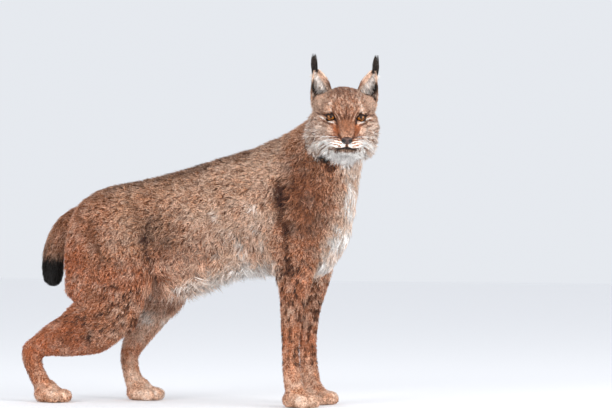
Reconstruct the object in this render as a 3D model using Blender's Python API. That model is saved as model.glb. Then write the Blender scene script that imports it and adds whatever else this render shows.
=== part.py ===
"""A life-size Eurasian lynx, standing still with its head turned to its right.

The fur's outer surface is modelled whole: lofted forms for the trunk, neck, head, legs, paws and tail
are fused, smoothed and thinned, and thin cuts then part them into the pieces that a person would name.
Metres, +Z up, +X towards the chest, +Y to the animal's left, and the soles rest on z = 0.
"""

import math
from random import Random

import bmesh
import bpy
import numpy as np
from mathutils import Matrix, Vector
from mathutils.bvhtree import BVHTree

# Driving sizes of an adult
WITHERS = 0.652  # height of the back over the shoulders
GAP = 0.0003  # kept between pieces that touch
VOXEL = 0.0036  # grain of the fused surface
SMOOTHINGS = 60

# Locks of the ruff, belly fringe, chest and ear tufts
LOCK_THICKNESS = 0.0030  # half of it
ROOT_SINK = 0.007  # how deep the roots lie under the surface
LOCK_TAPER = ((0.8, 1.0), (1.0, 1.0), (0.68, 0.72))  # width and thickness from root to the last third
LOCK_SHARES = (0.34, 0.70, 1.0)
RUFF_ROWS = (-0.026, -0.054)
RUFF_LOCKS = 8
RUFF_FROM, RUFF_TO = -14, 90  # degrees round the head, from under the ear to under the chin
RUFF_LENGTH = 0.042
RUFF_HALF_WIDTHS = (0.0095, 0.0120)
RUFF_REACH = 0.12  # from the head's middle; a hit farther out is on the neck
FRINGE_LOCKS = 8
FRINGE_FROM, FRINGE_TO = 0.180, -0.105
FRINGE_LOWEST = 0.270  # a root below this would be on a leg
FRINGE_ROW_GAP = 0.037
FRINGE_HALF_WIDTHS = (0.0120, 0.0150)
# Along the belly: where, the locks' length and how far they lean forward
FRINGE_AT = (-0.11, -0.05, 0.00, 0.05, 0.10, 0.18)
FRINGE_LENGTHS = (0.062, 0.058, 0.056, 0.044, 0.034, 0.028)
FRINGE_FORWARD = (0.45, 0.35, 0.22, 0.12, 0.0, 0.0)
CHEST_LOCKS = 4
CHEST_TOP, CHEST_DROP = 0.590, 0.200  # height of the first locks, and how far down the rows reach
CHEST_ROW_GAP = 0.040
CHEST_LENGTHS = (0.050, 0.062)
CHEST_HALF_WIDTH = 0.0120
CHEST_LIFT = 0.009  # how far the tips stand off the chest
TUFT_LOCKS = 3
TUFT_LENGTH = 0.042
TUFT_ROOT = 0.009  # length sunk in the ear's tip
TUFT_SPREAD = 0.0022
TUFT_HALF_WIDTH, TUFT_HALF_THICKNESS = 0.0042, 0.0024
WANDER = 0.004  # how far a root may stray from its place in the row

# How far the head and the paws are smoothed, where the trunk is 1
HEAD_SOFTNESS = 0.22
PAW_SOFTNESS = 0.16
HEAD_END, HEAD_BACK, PAW_END = 0.12, -0.035, 0.06  # where full smoothing begins to come in
BLEND = 0.04

# Bounds of the face, in the head's own frame, and of the paws
FACE_RADIUS = 0.13
FACE_BACK = -0.05
PAW_TOP = 0.07

# Triangles left to each region when the fused surface is thinned
FACE_TRIANGLES = 1150
PAW_TRIANGLES = 880
BODY_TRIANGLES = 2000

LEFT, RIGHT = 1, -1
ACROSS = Vector((0, 1, 0))
FORWARD = Vector((1, 0, 0))
UP = Vector((0, 0, 1))

# Coat and skin colours: linear red, green, blue, then roughness
RUSSET = ((0.36, 0.17, 0.085), 0.9)
SPOTTED = ((0.40, 0.18, 0.08), 0.9)
BLACK = ((0.012, 0.011, 0.014), 0.8)
NOSE_SKIN = ((0.10, 0.045, 0.035), 0.45)
IRIS = ((0.42, 0.20, 0.05), 0.08)


def clear_scene():
    for obj in list(bpy.data.objects):
        bpy.data.objects.remove(obj)


def paint(obj, name, look):
    """Gives the object a plain Principled material."""
    colour, roughness = look
    material = bpy.data.materials.get(name) or bpy.data.materials.new(name)
    material.use_nodes = True
    shader = material.node_tree.nodes["Principled BSDF"]
    shader.inputs["Base Color"].default_value = (*colour, 1)
    shader.inputs["Roughness"].default_value = roughness
    shader.inputs["Metallic"].default_value = 0
    obj.data.materials.clear()
    obj.data.materials.append(material)


# Making forms


def smooth_rows(rows, steps):
    """Rows of a smooth curve through the given rows, with steps rows to each span."""
    rows = np.array(rows, float)
    padded = np.vstack([2 * rows[0] - rows[1], rows, 2 * rows[-1] - rows[-2]])
    made = []
    for i in range(1, len(padded) - 2):
        before, here, there, after = padded[i - 1 : i + 3]
        for t in np.arange(steps) / steps:
            made.append(
                0.5
                * (
                    2 * here
                    + (there - before) * t
                    + (2 * before - 5 * here + 4 * there - after) * t**2
                    + (3 * here - before - 3 * there + after) * t**3
                )
            )
    return np.array([*made, rows[-1]])


def mesh_object(name, points, faces):
    mesh = bpy.data.meshes.new(name)
    mesh.from_pydata([tuple(p) for p in points], [], faces)
    obj = bpy.data.objects.new(name, mesh)
    bpy.context.scene.collection.objects.link(obj)
    return obj


def outward(obj):
    """Turns the faces of a closed mesh outwards."""
    bm = bmesh.new()
    bm.from_mesh(obj.data)
    bmesh.ops.recalc_face_normals(bm, faces=bm.faces)
    if bm.calc_volume(signed=True) < 0:
        bmesh.ops.reverse_faces(bm, faces=bm.faces)
    bm.to_mesh(obj.data)
    bm.free()
    return obj


def closed_loft(name, rings):
    """A closed mesh through rings of equal length, its two ends closed by fans to their centres."""
    rings = [np.array(ring, float) for ring in rings]
    sides = len(rings[0])
    points = [p for ring in rings for p in ring]
    faces = []
    for i in range(len(rings) - 1):
        for j in range(sides):
            k = (j + 1) % sides
            faces.append((i * sides + j, i * sides + k, (i + 1) * sides + k, (i + 1) * sides + j))
    for first, ring in ((0, rings[0]), ((len(rings) - 1) * sides, rings[-1])):
        points.append(ring.mean(axis=0))
        centre = len(points) - 1
        faces += [(centre, first + j, first + (j + 1) % sides) for j in range(sides)]
    return outward(mesh_object(name, points, faces))


def limb(name, stations, across=ACROSS, up=None, sides=20, steps=4, keel=0.0, dome=0.8):
    """A round-ended form along stations of x, y, z, half width and half depth.

    The width lies along across. The depth lies along up, or square to the path where up is None.
    keel narrows the lower half. dome is the length of the round ends, in half depths.
    """
    rows = smooth_rows(stations, steps)
    centres = [Vector(row[:3]) for row in rows]
    turns = [2 * math.pi * j / sides for j in range(sides)]
    rings = []

    def ring(centre, tangent, half_width, half_depth):
        wide = (across - tangent * across.dot(tangent)).normalized() if up is None else across
        deep = tangent.cross(wide).normalized() if up is None else up
        return [
            centre
            + wide * half_width * math.cos(a) * (1 - keel * max(0, -math.sin(a)))
            + deep * half_depth * math.sin(a)
            for a in turns
        ]

    last = len(rows) - 1
    tangents = [
        (centres[min(i + 1, last)] - centres[max(i - 1, 0)]).normalized() for i in range(len(rows))
    ]
    for angle in (80, 60, 40, 20):
        out, size = math.sin(math.radians(angle)), math.cos(math.radians(angle))
        wide, deep = rows[0][3], rows[0][4]
        middle = centres[0] - tangents[0] * dome * min(wide, deep) * out
        rings.append(ring(middle, tangents[0], wide * size, deep * size))
    for centre, tangent, row in zip(centres, tangents, rows):
        rings.append(ring(centre, tangent, row[3], row[4]))
    for angle in (20, 40, 60, 80):
        out, size = math.sin(math.radians(angle)), math.cos(math.radians(angle))
        wide, deep = rows[-1][3], rows[-1][4]
        middle = centres[-1] + tangents[-1] * dome * min(wide, deep) * out
        rings.append(ring(middle, tangents[-1], wide * size, deep * size))
    return closed_loft(name, rings)


def ball(name, centre, halves, frame=Matrix.Identity(4), turn=0.0, segments=24):
    """An ellipsoid of half sizes halves at centre in frame, turned about its own up axis."""
    mesh = bpy.data.meshes.new(name)
    bm = bmesh.new()
    bmesh.ops.create_uvsphere(bm, u_segments=segments, v_segments=segments // 2, radius=1)
    bm.transform(
        frame
        @ Matrix.Translation(centre)
        @ Matrix.Rotation(turn, 4, "Z")
        @ Matrix.Diagonal((*halves, 1))
    )
    bm.to_mesh(mesh)
    bm.free()
    obj = bpy.data.objects.new(name, mesh)
    bpy.context.scene.collection.objects.link(obj)
    return obj


def in_frame(obj, frame):
    """Moves a form's points by frame, leaving its object at the origin."""
    obj.data.transform(frame)
    obj.data.update()
    return obj


# Joining and cutting


def apply_modifiers(obj):
    graph = bpy.context.evaluated_depsgraph_get()
    mesh = bpy.data.meshes.new_from_object(obj.evaluated_get(graph))
    obj.modifiers.clear()
    old = obj.data
    obj.data = mesh
    bpy.data.meshes.remove(old)
    return obj


def joined(name, objects):
    """One mesh object holding all the forms, still crossing one another."""
    bm = bmesh.new()
    for obj in objects:
        bm.from_mesh(obj.data)
        bpy.data.objects.remove(obj)
    mesh = bpy.data.meshes.new(name)
    bm.to_mesh(mesh)
    bm.free()
    obj = bpy.data.objects.new(name, mesh)
    bpy.context.scene.collection.objects.link(obj)
    return obj


def combine(obj, others, operation):
    """Joins, cuts or meets obj with a list of closed forms in one Boolean, and removes them."""
    group = bpy.data.collections.new("operands")
    for other in others:
        group.objects.link(other)
    boolean = obj.modifiers.new(operation.lower(), "BOOLEAN")
    boolean.operation = operation
    boolean.operand_type = "COLLECTION"
    boolean.collection = group
    boolean.solver = "MANIFOLD"
    apply_modifiers(obj)
    for other in others:
        bpy.data.objects.remove(other)
    bpy.data.collections.remove(group)
    return keep_largest(obj)


def keep_largest(obj):
    """Keeps only the largest closed surface of the mesh."""
    bm = bmesh.new()
    bm.from_mesh(obj.data)
    bmesh.ops.triangulate(bm, faces=bm.faces)
    bm.faces.ensure_lookup_table()
    unseen = set(bm.faces)
    groups = []
    while unseen:
        stack = [unseen.pop()]
        group = []
        while stack:
            face = stack.pop()
            group.append(face)
            for edge in face.edges:
                for near in edge.link_faces:
                    if near in unseen:
                        unseen.remove(near)
                        stack.append(near)
        groups.append(group)

    def size(group):
        corners = [v.co for face in group for v in face.verts]
        low = [min(c[i] for c in corners) for i in range(3)]
        high = [max(c[i] for c in corners) for i in range(3)]
        return (Vector(high) - Vector(low)).length

    groups.sort(key=size, reverse=True)
    for group in groups[1:]:
        bmesh.ops.delete(bm, geom=group, context="FACES")
    bm.to_mesh(obj.data)
    bm.free()
    return obj


def block(name, corner_low, corner_high, frame=Matrix.Identity(4)):
    """A box between two corners of frame."""
    low, high = Vector(corner_low), Vector(corner_high)
    mesh = bpy.data.meshes.new(name)
    bm = bmesh.new()
    bmesh.ops.create_cube(bm, size=1)
    bm.transform(
        frame @ Matrix.Translation((low + high) / 2) @ Matrix.Diagonal((*(high - low), 1))
    )
    bm.to_mesh(mesh)
    bm.free()
    obj = bpy.data.objects.new(name, mesh)
    bpy.context.scene.collection.objects.link(obj)
    return obj


def cut_frame(point, beyond, side):
    """A frame at point whose +X runs beyond the cut, with side as the direction of its +Y."""
    x_axis = Vector(beyond).normalized()
    z_axis = x_axis.cross(Vector(side)).normalized()
    y_axis = z_axis.cross(x_axis)
    return Matrix.Translation(point) @ Matrix((x_axis, y_axis, z_axis)).transposed().to_4x4()


def part_off(source, name, point, beyond, side, reach):
    """Cuts what lies beyond a plane, within reach of point, off source into a new object."""
    ahead, wide, high = reach
    frame = cut_frame(point, beyond, side)
    piece = source.copy()
    piece.data = source.data.copy()
    piece.name = name
    bpy.context.scene.collection.objects.link(piece)
    low, top = (GAP / 2, GAP - wide, GAP - high), (ahead - GAP, wide - GAP, high - GAP)
    inner = block("keep", low, top, frame)
    outer = block("drop", (-GAP / 2, -wide, -high), (ahead, wide, high), frame)
    combine(piece, [inner], "INTERSECT")
    combine(source, [outer], "DIFFERENCE")
    return piece


# Trunk and neck

# x, height of the back, height of the belly's skin, half width
TRUNK = (
    (-0.335, 0.482, 0.390, 0.050),
    (-0.300, 0.519, 0.340, 0.084),
    (-0.247, 0.545, 0.310, 0.106),
    (-0.150, 0.565, 0.290, 0.112),
    (-0.050, 0.590, 0.294, 0.103),
    (0.030, 0.612, 0.316, 0.101),
    (0.115, 0.636, 0.338, 0.107),
    (0.195, WITHERS, 0.334, 0.110),
    (0.265, 0.655, 0.330, 0.101),
    (0.325, 0.630, 0.340, 0.082),
    (0.375, 0.580, 0.385, 0.056),
)

# Level slices of the chest and neck: height, x of the back edge, x of the front edge, half width
CHEST = (
    (0.345, 0.205, 0.350, 0.060),
    (0.383, 0.175, 0.375, 0.078),
    (0.433, 0.145, 0.393, 0.090),
    (0.495, 0.125, 0.410, 0.099),
    (0.548, 0.135, 0.420, 0.101),
    (0.600, 0.165, 0.428, 0.097),
    (0.650, 0.212, 0.433, 0.088),
    (0.690, 0.276, 0.438, 0.080),
    (0.715, 0.312, 0.440, 0.076),
)


def trunk():
    rows = [(x, 0, (top + low) / 2, wide, (top - low) / 2) for x, top, low, wide in TRUNK]
    return limb("trunk", rows, up=UP, sides=28, keel=0.22, dome=0.5)


def chest():
    rows = [((back + front) / 2, 0, z, wide, (front - back) / 2) for z, back, front, wide in CHEST]
    return limb("chest", rows, up=FORWARD, sides=28, dome=0.4)


# Middle line of the neck, which turns to the right towards the head: x, y, z, half width, half depth
NECK = (
    (0.235, 0.000, 0.560, 0.098, 0.082),
    (0.300, -0.004, 0.625, 0.094, 0.080),
    (0.352, -0.018, 0.672, 0.086, 0.070),
    (0.390, -0.046, 0.694, 0.076, 0.060),
)


# Head, in a frame of its own: the midpoint of the eyes, +X to where it looks, +Y to its left

EYES_AT = Vector((0.4255, -0.1055, 0.7158))
HEAD_YAW = math.radians(-66)
HEAD_ROLL = math.radians(-1.2)
HEAD = (
    Matrix.Translation(EYES_AT)
    @ Matrix.Rotation(HEAD_YAW, 4, "Z")
    @ Matrix.Rotation(HEAD_ROLL, 4, "X")
)
EYE_RADIUS = 0.0130
EYE = Vector((-0.0070, 0.0370, 0.0))  # centre of the left eyeball
LID = 0.0022
LID_OPENING = (0.0118, 0.0072)  # half width and half height of the almond between the lids
LID_SLANT = math.radians(17)
NOSE = Vector((0.0500, 0, -0.0585))
NOSE_HALVES = (0.0090, 0.0135, 0.0082)
MOUTH_HEIGHT = -0.0745
MOUTH_TURN = math.radians(64)  # how far round the muzzle the mouth reaches on each side
EAR_BASE = Vector((-0.056, 0.055, 0.046))
EAR_TIP = Vector((-0.050, 0.0745, 0.1225))
EAR_ACROSS = Vector((0.10, -0.766, 0.643)).normalized()
EAR_WALL = 0.0032


def head_forms():
    """The fused forms of the head: cranium, brow, bridge, muzzle, chin, jaw and cheeks."""
    forms = [
        ball("cranium", (-0.060, 0, 0.008), (0.070, 0.074, 0.070)),
        limb(
            "bridge",
            (
                (-0.022, 0, 0.032, 0.036, 0.030),
                (0.000, 0, 0.006, 0.0265, 0.021),
                (0.022, 0, -0.018, 0.0225, 0.017),
                (0.038, 0, -0.037, 0.0200, 0.0145),
                (0.046, 0, -0.050, 0.0165, 0.0100),
            ),
        ),
        limb(
            "muzzle",
            (
                (-0.030, 0, -0.040, 0.056, 0.044),
                (0.000, 0, -0.052, 0.046, 0.034),
                (0.024, 0, -0.062, 0.037, 0.022),
                (0.034, 0, -0.066, 0.028, 0.016),
            ),
            up=UP,
        ),
        ball("chin", (0.0290, 0, -0.0835), (0.0200, 0.0235, 0.0110)),
        limb(
            "jaw",
            (
                (-0.070, 0, -0.060, 0.056, 0.044),
                (-0.020, 0, -0.074, 0.046, 0.026),
                (0.012, 0, -0.080, 0.031, 0.015),
            ),
            up=UP,
        ),
        limb(
            "throat",
            (
                (-0.130, 0, -0.080, 0.060, 0.060),
                (-0.070, 0, -0.078, 0.060, 0.044),
                (-0.030, 0, -0.082, 0.045, 0.028),
            ),
            up=UP,
        ),
    ]
    for side in (LEFT, RIGHT):
        forms += [
            ball("whisker_pad", (0.0320, side * 0.0195, -0.0655), (0.0210, 0.0225, 0.0150)),
            ball("cheek", (-0.040, side * 0.048, -0.022), (0.042, 0.036, 0.052)),
            ball("brow", (-0.013, side * 0.034, 0.0200), (0.017, 0.024, 0.010)),
            ball("under_eye", (0.000, side * 0.030, -0.0340), (0.031, 0.026, 0.027)),
            ball("ear_root", (-0.058, side * 0.048, 0.034), (0.030, 0.032, 0.028)),
            ball("ruff_core", (-0.054, side * 0.050, -0.054), (0.034, 0.031, 0.046)),
        ]
    return [in_frame(form, HEAD) for form in forms]


def lids(side):
    """The lids as a dome over the eye, cut open later."""
    centre = (EYE.x, side * EYE.y, EYE.z)
    radius = EYE_RADIUS + LID
    return ball("lids", centre, (radius, radius, radius), HEAD, segments=14)


def almond(side):
    """The cutter of the gap between the lids, its outer corner higher than its inner one."""
    half_width, half_height = LID_OPENING
    turns = [2 * math.pi * j / 12 for j in range(12)]
    tilt = Matrix.Rotation(side * LID_SLANT, 4, "X")
    rings = []
    for x in (-0.0005, 0.02):
        ring = []
        for a in turns:
            height = half_height * math.sin(a) * (1 - 0.35 * math.cos(a) ** 2)
            point = tilt @ Vector((0, half_width * math.cos(a), height))
            ring.append(Vector((x, side * EYE.y + point.y, EYE.z + point.z)))
        rings.append(ring)
    return in_frame(closed_loft("almond", rings), HEAD)


def eyeball(name, side, more=0.0):
    centre = (EYE.x, side * EYE.y, EYE.z)
    radius = EYE_RADIUS + more
    return ball(name, centre, (radius, radius, radius), HEAD, segments=16)


def nose_pad(more=0.0):
    halves = [half + more for half in NOSE_HALVES]
    return ball("nose", NOSE, halves, HEAD, segments=14)


def nostrils():
    made = []
    for side in (LEFT, RIGHT):
        centre = (NOSE.x + 0.0075, side * 0.0068, NOSE.z - 0.0012)
        made.append(ball("nostril", centre, (0.0042, 0.0026, 0.0030), HEAD, segments=10))
    return made


def mouth_path(tree, half_height, half_depth):
    """Stations of the mouth's line, from one corner round the muzzle to the other."""
    to_head = HEAD.inverted()
    rows = []
    for share in np.linspace(-1, 1, 9):
        turn = MOUTH_TURN * share
        height = MOUTH_HEIGHT - 0.0045 * share**2
        away = Vector((math.cos(turn), math.sin(turn), 0))
        start = HEAD @ Vector((away.x * 0.12, away.y * 0.12, height))
        hit = tree.ray_cast(start, HEAD.to_3x3() @ -away)[0]
        spot = to_head @ hit
        rows.append((spot.x, spot.y, height, half_height, half_depth))
    return rows


def mouth_part(name, rows):
    return in_frame(limb(name, rows, across=UP, sides=6, steps=1, dome=0.5), HEAD)


def ear_shell(side):
    """A pointed cup, open to the front, with a rim of even thickness."""
    # Share of the way from base to tip, half width and half depth
    rows = (
        (-0.24, 0.0200, 0.0150),
        (-0.02, 0.0322, 0.0262),
        (0.22, 0.0315, 0.0250),
        (0.45, 0.0268, 0.0206),
        (0.65, 0.0198, 0.0152),
        (0.84, 0.0118, 0.0098),
        (1.00, 0.0046, 0.0050),
    )
    rings = []
    steps = 8
    for share, half_width, half_depth in rows:
        centre = EAR_BASE.lerp(EAR_TIP, share)
        outer, inner = [], []
        for j in range(steps + 1):
            turn = math.radians(-22 + 224 * j / steps)
            for arc, wall in ((outer, 0.0), (inner, min(EAR_WALL, half_depth * 0.45))):
                along = EAR_ACROSS * (half_width - wall) * math.cos(turn)
                back = Vector((-1, 0, 0)) * (half_depth - wall) * math.sin(turn)
                point = centre + along + back
                arc.append(Vector((point.x, side * point.y, point.z)))
        rings.append(outer + inner[::-1])
    count = len(rings[0])
    points = [p for ring in rings for p in ring]
    faces = []
    for i in range(len(rings) - 1):
        for j in range(count):
            k = (j + 1) % count
            faces.append((i * count + j, i * count + k, (i + 1) * count + k, (i + 1) * count + j))
    for first in (0, (len(rings) - 1) * count):
        faces += [
            (first + j, first + j + 1, first + count - 2 - j, first + count - 1 - j) for j in range(steps)
        ]
    return in_frame(outward(mesh_object("ear_shell", points, faces)), HEAD)


# Tail

TAIL = (
    (-0.300, 0, 0.468, 0.036, 0.036),
    (-0.348, -0.002, 0.456, 0.032, 0.033),
    (-0.384, -0.004, 0.424, 0.030, 0.030),
    (-0.402, -0.006, 0.380, 0.029, 0.029),
    (-0.406, -0.006, 0.340, 0.029, 0.029),
    (-0.405, -0.006, 0.312, 0.027, 0.027),
)
TAIL_TIP_FROM = 0.372

# Legs

# x, y and z of the leg's middle, half width across and half depth along the body, for the left side
FORELEG = (
    (0.262, 0.062, 0.500, 0.040, 0.085),
    (0.268, 0.068, 0.430, 0.040, 0.078),
    (0.272, 0.068, 0.372, 0.038, 0.066),
    (0.279, 0.066, 0.330, 0.034, 0.053),
    (0.276, 0.065, 0.285, 0.030, 0.0400),
    (0.269, 0.064, 0.235, 0.026, 0.0300),
    (0.266, 0.063, 0.185, 0.0235, 0.0258),
    (0.266, 0.063, 0.130, 0.0225, 0.0235),
    (0.268, 0.063, 0.100, 0.0240, 0.0245),
    (0.272, 0.064, 0.062, 0.0250, 0.0240),
    (0.280, 0.064, 0.034, 0.0270, 0.0250),
)
FORELEG_Y = 0.064

# Knee and hock of each hind leg, x and z. The right leg trails and the left one stands under the body
KNEE = {RIGHT: (-0.176, 0.240), LEFT: (-0.122, 0.292)}
HOCK = {RIGHT: (-0.412, 0.134), LEFT: (-0.224, 0.131)}
HIP = (-0.238, 0.440)
HIND_Y = 0.076
# Share of the way from knee to hock, half width, half depth
SHANK = {
    RIGHT: (
        (0.00, 0.042, 0.062),
        (0.30, 0.040, 0.058),
        (0.55, 0.034, 0.047),
        (0.80, 0.027, 0.035),
        (1.00, 0.023, 0.026),
    ),
    LEFT: (
        (0.00, 0.042, 0.058),
        (0.30, 0.039, 0.052),
        (0.55, 0.034, 0.044),
        (0.80, 0.028, 0.035),
        (1.00, 0.024, 0.029),
    ),
}
METATARSUS_TURN = 0.010  # how far the ankle stands ahead of the hock


def foreleg(side):
    rows = [(x, side * y, z, wide, deep) for x, y, z, wide, deep in FORELEG]
    return limb("foreleg", rows, up=FORWARD, dome=0.5)


def paw(x, y, turn, length, width):
    """A broad paw with its heel at x, y: the main pad's mass and four toes in an arc."""
    frame = Matrix.Translation((x, y, 0)) @ Matrix.Rotation(turn, 4, "Z")
    forms = [
        ball("pad", (0.40 * length, 0, 0.018), (0.42 * length, 0.44 * width, 0.027), frame),
        ball("instep", (0.36 * length, 0, 0.034), (0.30 * length, 0.30 * width, 0.026), frame),
    ]
    for place in (-1.5, -0.5, 0.5, 1.5):
        middle = abs(place) < 1
        forms.append(
            ball(
                "toe",
                ((0.80 if middle else 0.66) * length, place * 0.26 * width, 0.0155),
                (0.235 * length, 0.155 * width, 0.0195),
                frame,
                turn=place * 0.12,
            )
        )
    return forms


def hind_leg(side):
    """Thigh, shank, metatarsus and paw of one hind leg."""
    knee, hock = KNEE[side], HOCK[side]
    y = side * HIND_Y
    thigh_rows = (
        (HIP[0] + 0.000, side * 0.050, 0.500, 0.040, 0.075),
        (HIP[0] + 0.003, side * 0.066, 0.440, 0.046, 0.098),
        (0.62 * HIP[0] + 0.38 * knee[0], side * 0.075, 0.62 * HIP[1] + 0.38 * knee[1], 0.046, 0.106),
        (0.28 * HIP[0] + 0.72 * knee[0], y, 0.28 * HIP[1] + 0.72 * knee[1], 0.043, 0.088),
        (knee[0] - 0.012, y, knee[1], 0.038, 0.060),
    )
    shank_rows = [
        (knee[0] + (hock[0] - knee[0]) * t, y, knee[1] + (hock[1] - knee[1]) * t, wide, deep)
        for t, wide, deep in SHANK[side]
    ]
    ankle = hock[0] + METATARSUS_TURN
    foot_rows = (
        (hock[0] - 0.004, y, hock[1] + 0.002, 0.021, 0.024),
        (hock[0] - 0.004, y, 0.105, 0.0215, 0.0255),
        (hock[0] + 0.002, y, 0.070, 0.0225, 0.0245),
        (ankle + 0.004, y, 0.036, 0.0260, 0.0250),
    )
    return [
        limb("thigh", thigh_rows, up=FORWARD, dome=0.5),
        limb("shank", shank_rows, dome=0.7),
        limb("metatarsus", foot_rows, up=FORWARD, dome=0.9),
        *paw(ankle - 0.020, y, side * 0.06, 0.098, 0.078),
    ]


def buttock(side):
    """The mass from the tail's root down the back of the thigh."""
    trailing = side == RIGHT
    rows = (
        (-0.285, side * 0.045, 0.475, 0.042, 0.045),
        (-0.290 if trailing else -0.283, side * 0.062, 0.400, 0.046, 0.052),
        (-0.288 if trailing else -0.258, side * 0.070, 0.330, 0.044, 0.052),
        (-0.262 if trailing else -0.210, side * 0.074, 0.270, 0.038, 0.050),
    )
    return limb("buttock", rows, up=FORWARD, dome=0.5)


# The whole animal, fused


def soft_weight(point):
    """How far the fused surface is smoothed: all the way on the trunk, less on the head and paws."""
    local = HEAD.inverted() @ point
    if local.length < HEAD_END + BLEND:
        behind = min(1.0, max(0.0, (HEAD_BACK - local.x) / BLEND))
        return HEAD_SOFTNESS + (1 - HEAD_SOFTNESS) * max(behind, (local.length - HEAD_END) / BLEND)
    if point.z < PAW_END + BLEND:
        return PAW_SOFTNESS + (1 - PAW_SOFTNESS) * max(0, (point.z - PAW_END) / BLEND)
    return 1.0


def add_weights(obj, name, weight):
    group = obj.vertex_groups.new(name=name)
    for vertex in obj.data.vertices:
        group.add([vertex.index], weight(vertex.co), "REPLACE")


def on_face(point):
    local = HEAD.inverted() @ point
    return local.x > FACE_BACK and local.length < FACE_RADIUS


def on_paw(point):
    return point.z < PAW_TOP


def thin(obj, name, inside, target):
    """Thins the triangles of one region to about target, and leaves the rest as they are."""
    mesh = obj.data
    found = [inside(v.co) for v in mesh.vertices]
    here = other = 0
    for polygon in mesh.polygons:
        count = len(polygon.vertices) - 2
        if all(found[i] for i in polygon.vertices):
            here += count
        else:
            other += count
    add_weights(obj, name, lambda point: 1.0 if inside(point) else 0.0)
    decimate = obj.modifiers.new(name, "DECIMATE")
    decimate.ratio = (target + other) / (here + other)
    decimate.vertex_group = name
    decimate.vertex_group_factor = 1000
    apply_modifiers(obj)
    obj.vertex_groups.clear()


def whole_body():
    forms = [trunk(), chest(), limb("neck", NECK), limb("tail", TAIL), *head_forms()]
    for side in (LEFT, RIGHT):
        forms += [foreleg(side), buttock(side), *hind_leg(side)]
        forms += paw(0.246, side * FORELEG_Y, side * 0.05, 0.096, 0.084)
    body = joined("body", forms)
    remesh = body.modifiers.new("fuse", "REMESH")
    remesh.mode = "VOXEL"
    remesh.voxel_size = VOXEL
    apply_modifiers(body)
    add_weights(body, "soft", soft_weight)
    smooth = body.modifiers.new("smooth", "SMOOTH")
    smooth.factor = 0.5
    smooth.iterations = SMOOTHINGS
    smooth.vertex_group = "soft"
    apply_modifiers(body)
    body.vertex_groups.clear()
    thin(body, "body", lambda p: not (on_face(p) or on_paw(p)), BODY_TRIANGLES)
    thin(body, "face", on_face, FACE_TRIANGLES)
    thin(body, "paws", on_paw, PAW_TRIANGLES)
    big = 2.0
    return combine(body, [block("floor", (-big, -big, -big), (big, big, 0))], "DIFFERENCE")


def surface_of(obj):
    return BVHTree.FromPolygons([v.co for v in obj.data.vertices], [p.vertices for p in obj.data.polygons])


# Locks of the long coat


def lock(points, normals, half_width, half_thick):
    """A flat tapered lock of four sides through the points, ending in a point at the last."""
    rings = []
    for i, (wide, thick) in enumerate(LOCK_TAPER):
        ahead = (points[i + 1] - points[max(i - 1, 0)]).normalized()
        across = ahead.cross(normals[i]).normalized() * half_width * wide
        up = across.cross(ahead).normalized() * half_thick * thick
        rings.append((points[i] + across, points[i] + up, points[i] - across, points[i] - up))
    corners = [tuple(p) for ring in rings for p in ring] + [tuple(points[-1])]
    faces = [(0, 1, 2, 3)]
    for i in range(len(rings) - 1):
        for j in range(4):
            k = (j + 1) % 4
            faces.append((i * 4 + j, i * 4 + k, i * 4 + 4 + k, i * 4 + 4 + j))
    last = 4 * (len(rings) - 1)
    faces += [(last + j, last + (j + 1) % 4, last + 4) for j in range(4)]
    return outward(mesh_object("lock", corners, faces))


def lying_lock(tree, spot, lie, length, half_width, lift):
    """A lock that runs along the surface from spot towards lie, its tip standing lift clear of it."""
    point, normal = tree.find_nearest(spot)[:2]
    points, normals = [point - normal * ROOT_SINK], [normal]
    for share in LOCK_SHARES:
        way = (lie - normal * lie.dot(normal)).normalized()
        point, normal = tree.find_nearest(point + way * length / len(LOCK_SHARES))[:2]
        points.append(point + normal * lift * share)
        normals.append(normal)
    return lock(points, normals, half_width, LOCK_THICKNESS)


def hanging_lock(tree, spot, lie, hang, length, half_width, face=None):
    """A lock that leaves the surface at spot along lie and bends towards hang, flat towards face."""
    here, normal = tree.find_nearest(spot)[:2]
    points = [here - normal * ROOT_SINK]
    for share in LOCK_SHARES:
        way = lie.normalized().lerp(hang.normalized(), share).normalized()
        here = here + way * length / len(LOCK_SHARES)
        points.append(here)
    return lock(points, [face or normal] * len(points), half_width, LOCK_THICKNESS)


def ruff(tree, random):
    """Rows of locks on both cheeks, from under the ears to the throat."""
    locks = []
    to_world = HEAD.to_3x3()
    for side in (LEFT, RIGHT):
        for row, x in enumerate(RUFF_ROWS):
            for step in range(RUFF_LOCKS):
                share = (step + 0.5 * (row % 2)) / RUFF_LOCKS
                turn = math.radians(RUFF_FROM + (RUFF_TO - RUFF_FROM) * share)
                away = Vector((0, side * math.cos(turn), -math.sin(turn)))
                middle = Vector((x + random.uniform(-WANDER, WANDER), 0, -0.02))
                hit = tree.ray_cast(HEAD @ (middle + away * 0.2), to_world @ -away)[0]
                if hit is None or (HEAD.inverted() @ hit - middle).length > RUFF_REACH:
                    continue
                flare = side * (0.30 - 0.26 * share)
                lie = to_world @ Vector((-0.45, flare + side * 0.08, -0.70))
                hang = to_world @ Vector((-0.25, flare * 0.6, -1.0))
                length = RUFF_LENGTH * random.uniform(0.88, 1.12)
                half_width = random.uniform(*RUFF_HALF_WIDTHS)
                locks.append(hanging_lock(tree, hit, lie, hang, length, half_width))
    return locks


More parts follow.
